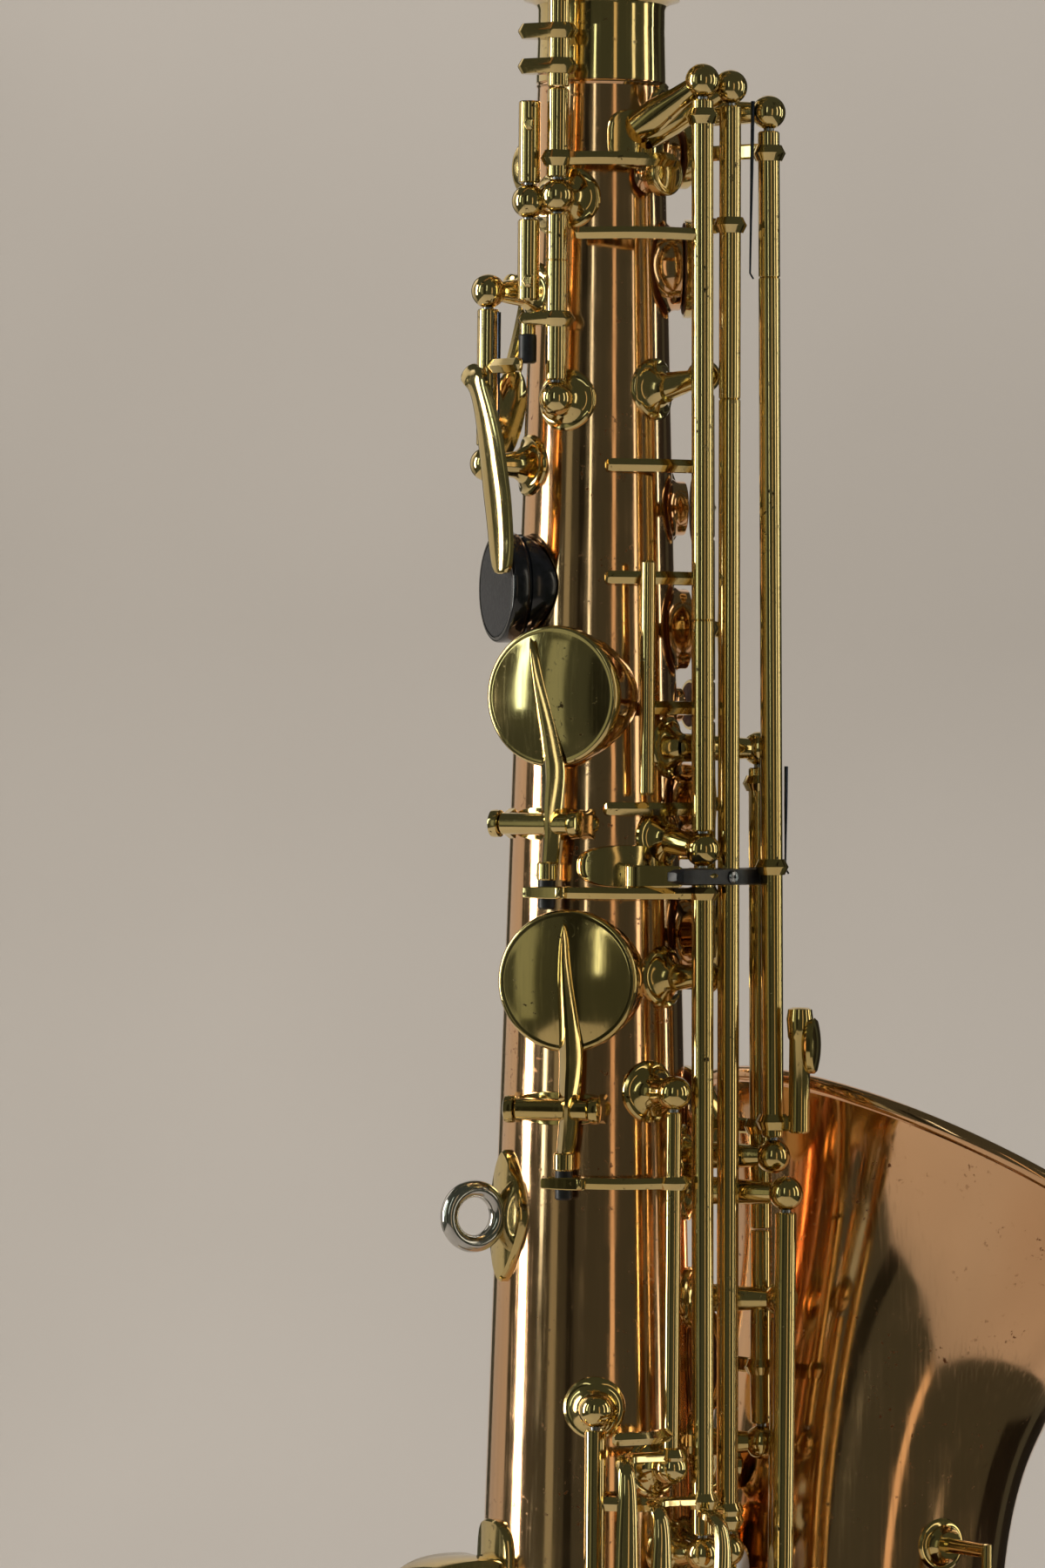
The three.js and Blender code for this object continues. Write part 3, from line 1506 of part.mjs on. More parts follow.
function neckTube() {
  const rings = neckRings();
  const vent = neckVentHole();
  const collar = bar(
    new THREE.Vector3(0, 0, receiverHigh + touchGap),
    new THREE.Vector3(0, 0, receiverHigh + neckRise * neckLevel.collar),
    receiverRadius,
    neckSides,
    neckTenonRadius + neckWall,
  );
  const hinge = neckKeyPlace();
  const raised = join(sweptSolid(rings, neckSides), chimney(vent), collar, neckSaddle(hinge));
  return cut(raised, sweptSolid(boreRings(rings, neckWall), neckSides), holeCutter(vent));
}

const neckKey = { hingeShare: 0.475, rise: 5.6, tubeLength: 10, ringRadius: 26.5, ringWire: 1.5 };

function neckKeyPlace() {
  const point = neckPath.getPointAt(neckKey.hingeShare);
  const tangent = neckPath.getTangentAt(neckKey.hingeShare);
  const axis = tangent.clone().cross(yAxis).normalize();
  const out = axis.z > 0 || axis.x > 0 ? axis : axis.negate();
  const skin = neckRadius(neckKey.hingeShare);
  return { point, tangent, out, skin, hinge: point.clone().addScaledVector(out, skin + neckKey.rise) };
}

function neckSaddle({ point, tangent, out, skin, hinge }) {
  const width = neckKey.tubeLength + 2 * (touchGap + saddleWall);
  const base = block(
    point.clone().addScaledVector(out, skin / 2 + footRise / 2),
    [width, skin + footRise, 3 * stemFootRadius],
    yAxis,
    out,
  );
  const ears = [-1, 1].flatMap((hand) => {
    const place = hand * (neckKey.tubeLength / 2 + touchGap + saddleWall / 2);
    const top = hinge.clone().addScaledVector(yAxis, place);
    const low = point.clone().addScaledVector(out, skin / 2).addScaledVector(yAxis, place);
    const over = top.clone().addScaledVector(out, stemFootRadius);
    return [
      bar(low, over, saddleWall / 2, wireSides),
      bar(top, top.clone().addScaledVector(yAxis, -hand * (saddleWall + pinReach)), pinRadius, pinSides),
    ];
  });
  return join(base, ...ears);
}

// The neck octave key: vent cup behind its hinge, and a loop round the neck in front of it.
function neckOctaveKey() {
  const { tangent, out, hinge } = neckKeyPlace();
  const vent = neckVentHole();
  const half = neckKey.tubeLength / 2;
  const left = hinge.clone().addScaledVector(yAxis, -half);
  const right = hinge.clone().addScaledVector(yAxis, half);
  const top = vent.rim.clone().addScaledVector(vent.axis, touchGap + cupHeight);
  const loopCentre = new THREE.Vector3(0, 0, receiverHigh + neckRise * neckLevel.loop);
  const loop = new THREE.TorusGeometry(neckKey.ringRadius, neckKey.ringWire, wireSides, neckSides);
  loop.translate(...loopCentre);
  const front = new THREE.Vector3(neckKey.ringRadius, 0, loopCentre.z);
  const over = hinge.clone().addScaledVector(out, armRise).addScaledVector(tangent, -neckKey.rise);
  const shoulder = new THREE.Vector3(neckKey.ringRadius, 0, neckTop - neckDrop);
  const bores = [-1, 1].map((hand) =>
    bar(
      hinge.clone().addScaledVector(yAxis, hand * (half + overrun)),
      hinge.clone().addScaledVector(yAxis, hand * (half - boreDepth)),
      boreRadius,
    ),
  );
  const whole = join(
    bar(left, right, hingeRadius),
    bar(hinge, top, stemRadius, wireSides),
    cup(vent),
    solidOf(loop),
    bar(hinge, over, stemRadius, wireSides),
    bar(over, shoulder, stemRadius, wireSides),
    bar(shoulder, front, stemRadius, wireSides),
  );
  return cut(whole, ...bores);
}

function neckCork() {
  const rings = ringsAlong(neckPath, [corkStartShare, 1], neckRadius);
  const outer = rings.map((ring) => ({ ...ring, radius: neckRadius(corkStartShare) + corkWall }));
  const bore = boreRings(rings, -touchGap);
  return cut(sweptSolid(outer, neckSides), sweptSolid(bore, neckSides));
}

// The mouthpiece lies on the neck's end line: shank, barrel and beak, and a bore for the cork.
const corkRadius = neckRadius(corkStartShare) + corkWall;
const mouthOrigin = neckEnd.clone().addScaledVector(neckExit, -mouthpieceOverlap);
const mouthUp = yAxis.clone().cross(neckExit).normalize();
const mouthTop = mouthUp.z > 0 ? mouthUp : mouthUp.clone().negate();

function alongMouth(distance, rise = 0) {
  return mouthOrigin.clone().addScaledVector(neckExit, distance).addScaledVector(mouthTop, rise);
}

const tableShare = 0.36;
const tableDrop = 7.6;
const beakAngle = 15.5;
const mouthRim = 1;
const boreSides = 16;
const mouthShares = { barrel: 0.25, waist: 0.5, beak: 0.64, boreEnd: 0.32, chamber: 0.3, chamberEnd: 0.62 };
const mouthWidths = { waist: 0.9, tip: 0.86, chamber: 0.55, blade: 4 };
const mouthWindow = { share: 0.8, halfShare: 0.18, drop: 0.7, tall: 0.9 };

function mouthpiece() {
  const profile = [
    [0, 0],
    [mouthpieceRadius - mouthRim, 0],
    [mouthpieceRadius, mouthRim],
    [mouthpieceRadius, mouthShares.barrel * mouthpieceLength],
    [mouthWidths.waist * mouthpieceRadius, mouthShares.waist * mouthpieceLength],
    [mouthWidths.tip * mouthpieceRadius, mouthpieceLength],
    [0, mouthpieceLength],
  ];
  const blank = turned(profile, mouthOrigin, neckExit, neckSides);
  const blade = mouthWidths.blade * mouthpieceRadius;
  const table = block(
    alongMouth(mouthpieceLength, -mouthpieceRadius - tableDrop),
    [2 * mouthShares.beak * mouthpieceLength, 2 * mouthpieceRadius, blade],
    neckExit,
    mouthTop,
  );
  const [along, across] = [Math.cos(radians(beakAngle)), Math.sin(radians(beakAngle))];
  const beakSide = neckExit.clone().multiplyScalar(along).addScaledVector(mouthTop, -across);
  const beakTop = mouthTop.clone().multiplyScalar(along).addScaledVector(neckExit, across);
  const beak = block(
    alongMouth(mouthpieceLength, mouthpieceRadius - tableDrop),
    [mouthpieceLength, 2 * mouthpieceRadius, blade],
    beakSide,
    beakTop,
  );
  const corkBore = bar(
    alongMouth(-overrun),
    alongMouth(mouthShares.boreEnd * mouthpieceLength),
    corkRadius + 2 * touchGap,
    neckSides,
  );
  const chamber = bar(
    alongMouth(mouthShares.chamber * mouthpieceLength),
    alongMouth(mouthShares.chamberEnd * mouthpieceLength),
    mouthWidths.chamber * mouthpieceRadius,
    boreSides,
  );
  const { share, halfShare, drop, tall } = mouthWindow;
  const windowCut = block(
    alongMouth(share * mouthpieceLength, -drop * mouthpieceRadius),
    [2 * halfShare * mouthpieceLength, mouthpieceRadius, tall * mouthpieceRadius],
    neckExit,
    mouthTop,
  );
  return cut(blank, table, beak, corkBore, chamber, windowCut);
}

const reedThickness = 2.6;
const reedHalfWide = 6.4;
const reedTip = 0.3;
const reedHeelShare = 0.62;

function reed() {
  const level = -tableDrop - touchGap;
  const outline = [
    [tableShare * mouthpieceLength, level],
    [mouthpieceLength, level],
    [mouthpieceLength, level - reedTip],
    [reedHeelShare * mouthpieceLength, level - reedThickness],
    [tableShare * mouthpieceLength, level - reedThickness],
  ];
  return pushed(outline, 2 * reedHalfWide, mouthOrigin, neckExit, mouthTop);
}

const ligatureWall = 1;
const ligatureStartShare = 0.39;
const ligatureEndShare = 0.56;

function ligature() {
  const inner = mouthpieceRadius + touchGap;
  const from = alongMouth(ligatureStartShare * mouthpieceLength);
  const to = alongMouth(ligatureEndShare * mouthpieceLength);
  const outer = bar(from, to, inner + ligatureWall, neckSides);
  const bore = bar(
    from.clone().addScaledVector(neckExit, -overrun),
    to.clone().addScaledVector(neckExit, overrun),
    inner,
    neckSides,
  );
  return cut(outer, bore);
}

// Finishes

const finishes = {
  bronze: { color: 0xc98c62, metalness: 1, roughness: 0.18 },
  brass: { color: 0xc9a45c, metalness: 1, roughness: 0.2 },
  nickel: { color: 0xb9b6b0, metalness: 1, roughness: 0.25 },
  steel: { color: 0x6f7785, metalness: 1, roughness: 0.3 },
  blackPlastic: { color: 0x16161a, metalness: 0, roughness: 0.35 },
  cork: { color: 0xb98a5a, metalness: 0, roughness: 0.85 },
  cane: { color: 0xdcc38a, metalness: 0, roughness: 0.6 },
};

const saxophone = new THREE.Group();
const instrument = new THREE.Group();
instrument.position.copy(ringCentre).negate();
saxophone.add(instrument);

function addMesh(name, solid, finish, parent = instrument) {
  const { vertProperties, triVerts } = solid.getMesh();
  const geometry = new THREE.BufferGeometry();
  geometry.setAttribute('position', new THREE.BufferAttribute(vertProperties, 3));
  geometry.setIndex(new THREE.BufferAttribute(triVerts, 1));
  geometry.computeVertexNormals();
  const mesh = new THREE.Mesh(geometry, new THREE.MeshStandardMaterial(finishes[finish]));
  mesh.name = name;
  parent.add(mesh);
  return mesh;
}

// A key turns about its hinge line: the mesh hangs in a group at the line, turned by its rest angle.
function addKey(name, solid, hinge, axis, restAngle, travel) {
  const pivot = new THREE.Group();
  pivot.position.copy(hinge);
  pivot.setRotationFromAxisAngle(axis, radians(restAngle));
  const offset = new THREE.Group();
  offset.position.copy(hinge).negate();
  pivot.add(offset);
  instrument.add(pivot);
  const mesh = addMesh(name, solid, 'brass', offset);
  mesh.userData = { hinge: hinge.toArray(), axis: axis.toArray(), travel };
}

function addLineKey(name, solid, line, restAngle, travel) {
  const hinge = onLine(lines[line], ringHeight);
  addKey(name, solid, hinge, alongLine(lines[line]), restAngle, travel);
}

addMesh('body_tube', bodyTube(), 'bronze');
addMesh('bow', bow(), 'bronze');
addMesh('bell', bell(), 'bronze');
addMesh('body_bow_band', jointBand(0, bottomRadius + touchGap), 'brass');
addMesh('bell_bow_band', jointBand(bellDistance, bellStartRadius + touchGap), 'brass');
addMesh('bell_brace', bellBrace(), 'brass');
addMesh('strap_ring', strapRing(), 'nickel');
addMesh('thumb_rest', thumbRest(), 'blackPlastic');
addMesh('thumb_hook', thumbHook(), 'brass');
addMesh('thumb_hook_screw', thumbHookScrew(), 'steel');
addMesh('rod_guide', rodGuide(), 'blackPlastic');
addMesh('rod_guide_bracket', rodGuideBracket(), 'brass');
addMesh('bell_key_guard', keyGuard(-1, bellKeyLegs), 'brass');
addMesh('low_c_sharp_guard', keyGuard(1, lowCSharpLegs), 'brass');
addMesh('neck_receiver', neckReceiver(), 'brass');
addMesh('receiver_screw', receiverScrew(), 'brass');
addMesh('neck_tube', neckTube(), 'bronze');
addMesh('neck_cork', neckCork(), 'cork');
addMesh('mouthpiece', mouthpiece(), 'blackPlastic');
addMesh('reed', reed(), 'cane');
addMesh('ligature', ligature(), 'brass');

for (const [name, { label }] of Object.entries(rockingTable)) {
  const { height, radius } = rockingPlace(name);
  const angle = holeTable[name].angle;
  const seat = saddle(angle, radius, height, rockerTubeLength, rockerShift);
  addMesh(`${label}_saddle`, cut(seat, tubeSeat(touchGap)), 'brass');
  const hinge = polar(angle, radius, height);
  addKey(`${label}_cup_key`, rockingCup(name), hinge, around(angle), 0, [0, cupOpening]);
}

for (const [name, { label }] of Object.entries(palmTable)) {
  const { angle, height, radius } = palmPlace(name);
  const hinge = polar(angle, radius, height);
  addKey(`${label}_key`, palmKey(name), hinge, around(angle), 0, [0, cupOpening]);
}

addLineKey('side_c_lever', sideCLever(), 'sideC', 0, [-4, 0]);
addLineKey('side_b_flat_lever', sideBbLever(), 'sideBb', 0, [-5.8, 0]);
addLineKey('high_e_key', highEKey(), 'highE', 0, [-8, 0]);
addLineKey('high_f_sharp_key', highFSharpKey(), 'highFSharp', 0, [-8, 0]);
addLineKey('octave_transfer_rod', octaveTransfer(), 'sideC', 0, [-4, 4]);
addLineKey('octave_lever', octaveLever(), 'thumb', 0, [0, 6]);
addLineKey('octave_rocker', octaveRocker(), 'rocker', 0, [-6, 0]);
addLineKey('octave_link', octaveLink(), 'rocker', 0, [-6, 0]);
addLineKey('octave_balance_lever', octaveBalance(), 'vent', 0, [-6, 0]);
addLineKey('body_octave_key', bodyOctaveKey(), 'vent', 0, [-6, 0]);
addLineKey('neck_octave_actuator', neckOctaveActuator(), 'vent', 0, [0, 6]);

const open = { upper: -5, lower: -5.5, middle: -6, lowC: 5, bell: -6 };
for (const key of upperStack) {
  addLineKey(key.name, upperStackKey(key), 'upper', open.upper, [0, -open.upper]);
}
for (const key of lowerStack) {
  addLineKey(key.name, lowerStackKey(key), 'lower', open.lower, [0, -open.lower]);
}
const gSharp = { line: 'middle', lowShare: 0.4526, highShare: 0.6409, cups: [{ hole: 'gSharp' }] };
const fSharpCup = { line: 'middle', lowShare: 0.373, highShare: 0.452, cups: [{ hole: 'fSharp' }] };
addLineKey('g_sharp_key', hingedKey(gSharp), 'middle', 0, [open.middle, 0]);
addLineKey('f_sharp_cup_key', hingedKey(fSharpCup), 'middle', open.middle, [0, -open.middle]);
addLineKey('e_flat_key', eFlatKey(), 'lower', 0, [0, 7]);
addLineKey('low_c_key', lowCKey(), 'bellLow', open.lowC, [-open.lowC, 0]);
const lowB = { line: 'bellLow', lowShare: 0.1493, highShare: 0.4607, cups: [{ hole: 'lowB' }] };
const lowBFlat = { line: 'bellHigh', lowShare: 0.2191, highShare: 0.4167, cups: [{ hole: 'lowBFlat' }] };
addLineKey('low_b_key', hingedKey(lowB), 'bellLow', open.bell, [0, -open.bell]);
addLineKey('low_b_flat_key', hingedKey(lowBFlat), 'bellHigh', open.bell, [0, -open.bell]);
addLineKey('low_c_sharp_key', lowCSharpKey(), 'lowCSharp', 0, [0, 6]);
for (const key of tableLevers) {
  addLineKey(key.name, tableLever(key), 'table', 0, [0, 6]);
}
addLineKey('alt_f_sharp_key', trillKey(), 'trill', 0, [-6, 0]);

const neckHinge = neckKeyPlace().hinge;
addKey('neck_octave_key', neckOctaveKey(), neckHinge, yAxis, 0, [0, 5]);

export default saxophone;
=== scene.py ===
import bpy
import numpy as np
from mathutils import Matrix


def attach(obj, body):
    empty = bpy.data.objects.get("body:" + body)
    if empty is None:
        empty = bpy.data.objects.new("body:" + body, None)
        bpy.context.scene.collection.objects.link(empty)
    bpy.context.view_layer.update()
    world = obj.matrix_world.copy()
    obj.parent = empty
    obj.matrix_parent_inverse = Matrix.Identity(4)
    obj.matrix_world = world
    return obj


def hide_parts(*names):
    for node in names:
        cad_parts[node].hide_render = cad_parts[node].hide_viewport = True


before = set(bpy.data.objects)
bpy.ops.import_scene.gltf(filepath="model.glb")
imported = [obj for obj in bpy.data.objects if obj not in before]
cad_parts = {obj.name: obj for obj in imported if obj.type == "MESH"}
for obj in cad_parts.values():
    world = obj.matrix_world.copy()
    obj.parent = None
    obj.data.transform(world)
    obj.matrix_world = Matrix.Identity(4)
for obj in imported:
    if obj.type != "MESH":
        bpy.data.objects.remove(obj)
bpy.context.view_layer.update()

# An alto saxophone, seen from the player's right and a little behind. Everything is drawn in
# millimetres in the body's frame (z up the tube from the bow joint, x towards the bell) with the same
# named sizes as the CAD, and is moved to the row frame, in metres, when its mesh is made.

BODY_HEIGHT = 530.0
BOTTOM_RADIUS = 27.8
TOP_RADIUS = 12.5
HINGE_RADIUS = 2.35
BALL_RADIUS = 3.7
BALL_GAP = 3.9
CHIMNEY_RISE = 2.8
CUP_MARGIN = 2.5
CUP_HEIGHT = 3.6
GAP = 0.3
BELL_DISTANCE = 70.0
BELL_THROAT = 33.5


def up(share):
    """A height: the share of the body height."""
    return share * BODY_HEIGHT


def tube_radius(height):
    """The straight cone of the body tube: bottom radius plus the share of the height times the change."""
    return BOTTOM_RADIUS + (TOP_RADIUS - BOTTOM_RADIUS) * np.asarray(height) / BODY_HEIGHT


def outward(angle):
    """The direction away from the tube: (sin, -cos, 0) of the azimuth."""
    a = np.radians(angle)
    return np.array([np.sin(a), -np.cos(a), 0.0])


def around(angle):
    """The direction round the tube: (cos, sin, 0) of the azimuth."""
    a = np.radians(angle)
    return np.array([np.cos(a), np.sin(a), 0.0])


def polar(angle, radius, height):
    """A point from azimuth, distance from the tube's axis and height."""
    return outward(angle) * radius + np.array([0.0, 0.0, height])


UP = np.array([0.0, 0.0, 1.0])
RIGHT = np.array([1.0, 0.0, 0.0])
PLAYER_LEFT = np.array([0.0, 1.0, 0.0])
RING_HEIGHT = up(0.4581)
RING_CENTRE = polar(-95, float(tube_radius(RING_HEIGHT)) + 8, RING_HEIGHT)


def unit(vector):
    """A vector divided by its length."""
    vector = np.asarray(vector, float)
    return vector / np.linalg.norm(vector, axis=-1, keepdims=True)


# Surfaces. A part is a pair: its points in millimetres and its faces.


def closed(grid, ends=True):
    """Quads over rows of points that close on themselves; each end row is closed by a fan to its
    middle. The faces are turned round if the signed volume, a third of the sum of each face's middle
    times its area vector, is negative."""
    rows, cols = grid.shape[:2]
    row = np.arange(rows - 1 if ends else rows)[:, None]
    col = np.arange(cols)[None, :]
    after = (col + 1) % cols
    here, there = row * cols, ((row + 1) % rows) * cols
    quads = np.stack(np.broadcast_arrays(here + col, here + after, there + after, there + col), -1)
    quads = quads.reshape(-1, 4)
    points = grid.reshape(-1, 3)
    fans = np.zeros((0, 3), int)
    if ends:
        col, after = col[0], after[0]
        first, last = len(points), len(points) + 1
        start = np.stack([np.full(cols, first), after, col], -1)
        stop = np.stack([np.full(cols, last), (rows - 1) * cols + col, (rows - 1) * cols + after], -1)
        fans = np.concatenate([start, stop])
        points = np.concatenate([points, [grid[0].mean(0), grid[-1].mean(0)]])
    a, b, c, d = (points[quads[:, i]] - points.mean(0) for i in range(4))
    volume = np.einsum("ij,ij->", (a + b + c + d) / 4, np.cross(c - a, d - b))
    a, b, c = (points[fans[:, i]] - points.mean(0) for i in range(3))
    volume += np.einsum("ij,ij->", (a + b + c) / 3, np.cross(b - a, c - a))
    if volume < 0:
        quads, fans = quads[:, ::-1], fans[:, ::-1]
    return points, quads.tolist() + fans.tolist()


def square_to(axis, hint=None):
    """Two unit directions square to an axis and to each other; the first lies near the hint."""
    axis = unit(axis)
    if hint is None:
        hint = UP if abs(axis[2]) < 0.9 else RIGHT
    first = unit(hint - axis * np.dot(hint, axis))
    return first, np.cross(axis, first)


def turned(profile, origin, axis, sides=40, hint=None, widths=(1.0, 1.0)):
    """A lathe form: the point at turn t of a profile row (r, h) is origin + h axis + r (cos t long +
    sin t wide), where the two widths stretch the circle to an oval."""
    profile = np.asarray(profile, float)
    axis = unit(axis)
    first, second = square_to(axis, hint)
    turn = np.linspace(0, 2 * np.pi, sides, endpoint=False)
    spokes = np.cos(turn)[:, None] * first * widths[0] + np.sin(turn)[:, None] * second * widths[1]
    grid = np.asarray(origin, float) + profile[:, 1, None, None] * axis
    return closed(grid + profile[:, 0, None, None] * spokes)


def bevelled(radius, low, high, edge=0.3):
    """The profile of a round bar with a small bevel at each end."""
    return [(radius - edge, low), (radius, low + edge), (radius, high - edge), (radius - edge, high)]


def bar(start, stop, radius, sides=28, edge=0.3):
    """A round bar between two points with bevelled ends."""
    start, stop = np.asarray(start, float), np.asarray(stop, float)
    length = np.linalg.norm(stop - start)
    return turned(bevelled(radius, 0, length, edge), start, stop - start, sides)


def ball(centre, radius, sides=40, rows=20):
    """A sphere: radius times (sin t, -cos t) for t from pole to pole, turned about the height."""
    t = np.linspace(0.02, np.pi - 0.02, rows)
    return turned(np.stack([radius * np.sin(t), -radius * np.cos(t)], -1), centre, UP, sides)


def curved(points, rounds=3):
    """A bent line with its corners cut: each round puts two points at a quarter and three quarters of
    every stretch, and keeps both ends."""
    points = np.asarray(points, float)
    for _ in range(rounds if len(points) > 2 else 0):
        inner = np.stack([0.75 * points[:-1] + 0.25 * points[1:], 0.25 * points[:-1] + 0.75 * points[1:]], 1)
        points = np.concatenate([points[:1], inner.reshape(-1, 3), points[-1:]])
    return points


RIDGED = [(-0.5, -0.3), (-0.36, -0.5), (0.36, -0.5), (0.5, -0.3), (0.46, 0.18), (0.0, 0.5), (-0.46, 0.18)]
FLAT = [(-0.5, -0.34), (-0.42, -0.5), (0.42, -0.5), (0.5, -0.34), (0.5, 0.34), (0.42, 0.5), (-0.42, 0.5), (-0.5, 0.34)]
CROWNED = [(-0.5, -0.4), (0.5, -0.4), (0.5, 0.1), (0.4, 0.32), (0.2, 0.46), (0, 0.5), (-0.2, 0.46), (-0.4, 0.32), (-0.5, 0.1)]
PLOUGH = [(-0.5, -0.5), (0.5, -0.5), (0.44, -0.2), (0.08, 0.5), (-0.08, 0.5), (-0.44, -0.2)]


def strap(path, widths, thicknesses, across=UP, section=RIDGED):
    """A strap carried along a path: at each point the section's first number runs along the width,
    which lies nearest to the given direction, and its second square to both, away from the tube."""
    path = np.asarray(path, float)
    along = unit(np.gradient(path, axis=0))
    across = np.asarray(across, float)
    wide = unit(across - along * (along @ across)[:, None])
    out = np.cross(along, wide)
    away = path * (1, 1, 0)
    if np.einsum("ij,ij->", out, away) < 0:
        out = -out
    share = np.linspace(0, 1, len(path))
    widths = np.interp(share, np.linspace(0, 1, np.size(widths)), np.atleast_1d(widths))
    thick = np.interp(share, np.linspace(0, 1, np.size(thicknesses)), np.atleast_1d(thicknesses))
    # two smaller rows beyond each end round it off
    reach, shrink = np.array([0.45, 0.3]), np.array([0.5, 0.85])
    first = path[0] - (reach * thick[0])[:, None] * along[0]
    last = path[-1] + (reach[::-1] * thick[-1])[:, None] * along[-1]
    path = np.concatenate([first, path, last])
    wide = np.concatenate([wide[:1], wide[:1], wide, wide[-1:], wide[-1:]])
    out = np.concatenate([out[:1], out[:1], out, out[-1:], out[-1:]])
    widths = np.concatenate([shrink * widths[0], widths, shrink[::-1] * widths[-1]])
    thick = np.concatenate([shrink * thick[0], thick, shrink[::-1] * thick[-1]])
    section = np.asarray(section, float)
    grid = path[:, None] + (widths[:, None] * section[None, :, 0])[..., None] * wide[:, None]
    return closed(grid + (thick[:, None] * section[None, :, 1])[..., None] * out[:, None])


def rod(path, radii, sides=20):
    """A round rod along a path: rings square to the path whose first spoke is carried on from ring to
    ring with the least turn."""
    path = np.asarray(path, float)
    along = unit(np.gradient(path, axis=0))
    spoke, _ = square_to(along[0])
    spokes = []
    for way in along:
        spoke = unit(spoke - way * np.dot(spoke, way))
        spokes.append(spoke)
    first = np.array(spokes)
    second = np.cross(along, first)
    turn = np.linspace(0, 2 * np.pi, sides, endpoint=False)
    radii = np.interp(np.linspace(0, 1, len(path)), np.linspace(0, 1, np.size(radii)), np.atleast_1d(radii))
    ring = np.cos(turn)[None, :, None] * first[:, None] + np.sin(turn)[None, :, None] * second[:, None]
    return closed(path[:, None] + radii[:, None, None] * ring)


def seated(profile, angle, height, sides=48, middle=0.0, direction=None, radius=None):
    """A lathe form seated on a tube. A row (r, h, w) at turn t has a = r cos t round the tube and
    b = r sin t up it, and stands at w (R + h) + (1 - w)(sqrt(R R - a a) + h) from the axis, so rows
    with w = 0 follow the tube's skin and rows with w = 1 are flat."""
    profile = np.asarray(profile, float)
    turn = np.linspace(0, 2 * np.pi, sides, endpoint=False)
    a = profile[:, 0, None] * np.cos(turn)
    b = profile[:, 0, None] * np.sin(turn)
    skin = tube_radius(height + b) if radius is None else np.full_like(b, radius)
    flat = tube_radius(height) if radius is None else radius
    drop = np.sqrt(np.maximum(skin**2 - a**2, 0))
    weight = profile[:, 2, None]
    stand = weight * flat + (1 - weight) * drop + profile[:, 1, None]
    out = outward(angle) if direction is None else np.asarray(direction, float)
    side = np.cross(UP, out)
    origin = np.array([middle, 0.0, height])
    return closed(origin + stand[..., None] * out + a[..., None] * side + b[..., None] * UP)


def leaf(centre, out, long_way, half_long, half_wide, thick, dome=0.5, dish=0.0, sides=48):
    """An oval plate: rows of ovals from the middle of its back to its edge and over its crowned face,
    whose rise falls with the square of the way to the edge."""
    t = np.array([0.02, 0.5, 0.9, 1.0, 1.0, 0.93, 0.8, 0.6, 0.4, 0.2, 0.02])
    h = np.array([0, 0, 0, 0.25, 0.75, 1, 1, 1, 1, 1, 1]) * thick - thick / 2
    h[5:] += (dome - dish) * (1 - (t[5:] / 0.93) ** 2)
    profile = np.stack([t * half_long, h], -1)
    return turned(profile, centre, out, sides, hint=long_way, widths=(1.0, half_wide / half_long))


# Hinge lines: azimuth, share of the height of the lowest end, stand-off there, lean.
LINES = {
    "side_c": (16, 0.347, 9.4, 0.0111),
    "high_e": (31, 0.336, 10.2, 0.0068),
    "high_f_sharp": (43.5, 0.47, 19.5, 0.0129),
    "middle": (57, 0.37, 15.1, 0.0116),
    "side_b_flat": (4, 0.3585, 6.2, 0),
    "upper": (32, 0.5556, 7.1, 0.012),
    "lower": (31, 0.17, 7.7, 0),
    "vent": (-60, 0.789, 4.8, 0),
    "rocker": (-76, 0.8185, 7.3, 0),
    "thumb": (-100, 0.763, 9.9, 0),
    "trill": (-31, 0.22, 3.6, 0),
    "bell_high": (50, 0.2, 16.6, 0),
    "bell_low": (38, 0.14, 18.3, 0),
    "low_c_sharp": (132.5, 0.05, 21.8, 0),
    "table": (118, 0.53, 14.3, 0),
}


def line_radius(line, height):
    """How far a hinge line is from the tube's axis: the stand-off at its foot less its lean."""
    _, share, stand_off, lean = LINES[line]
    return float(tube_radius(up(share))) + stand_off - lean * (height - up(share))


def on_line(line, height):
    """The point of a hinge line at a height."""
    return polar(LINES[line][0], line_radius(line, height), height)


def hinge(line, low, high, collars=(), radius=HINGE_RADIUS, seams=()):
    """A hinge tube between two heights: a bevelled bar, a double-bevelled ring at each collar and a
    fine seam, a ring cut a tenth of a millimetre deep, at each seam."""
    start, stop = on_line(line, low), on_line(line, high)
    length = np.linalg.norm(stop - start)
    profile = [(radius - 0.7, 0.35), (radius - 0.6, 0), (radius - 0.25, 0), (radius, 0.3), (radius, 0.9)]
    for seam in sorted(seams):
        at = length * (seam - low) / (high - low)
        profile += [(radius, at - 0.9), (radius, at - 0.25), (radius - 0.25, at), (radius, at + 0.25), (radius, at + 0.9)]
    profile += [(radius, length - 0.9), (radius, length - 0.3), (radius - 0.25, length)]
    profile += [(radius - 0.6, length), (radius - 0.7, length - 0.35)]
    parts = [turned(profile, start, stop - start, 32)]
    return parts + [collar(line, height, radius) for height in collars]


def collar(line, height, radius=HINGE_RADIUS, tall=3.4, wide=3.7):
    """A double-bevelled ring round a hinge tube: its rim rises to a ridge at half its height."""
    half = tall / 2
    rows = [(radius - 0.2, -half), (radius + 0.5, -half), (wide - 0.15, -0.25), (wide, 0), (wide - 0.15, 0.25), (radius + 0.5, half), (radius - 0.2, half)]
    return turned(rows, on_line(line, height), on_line(line, height + 1) - on_line(line, height - 1), 36)


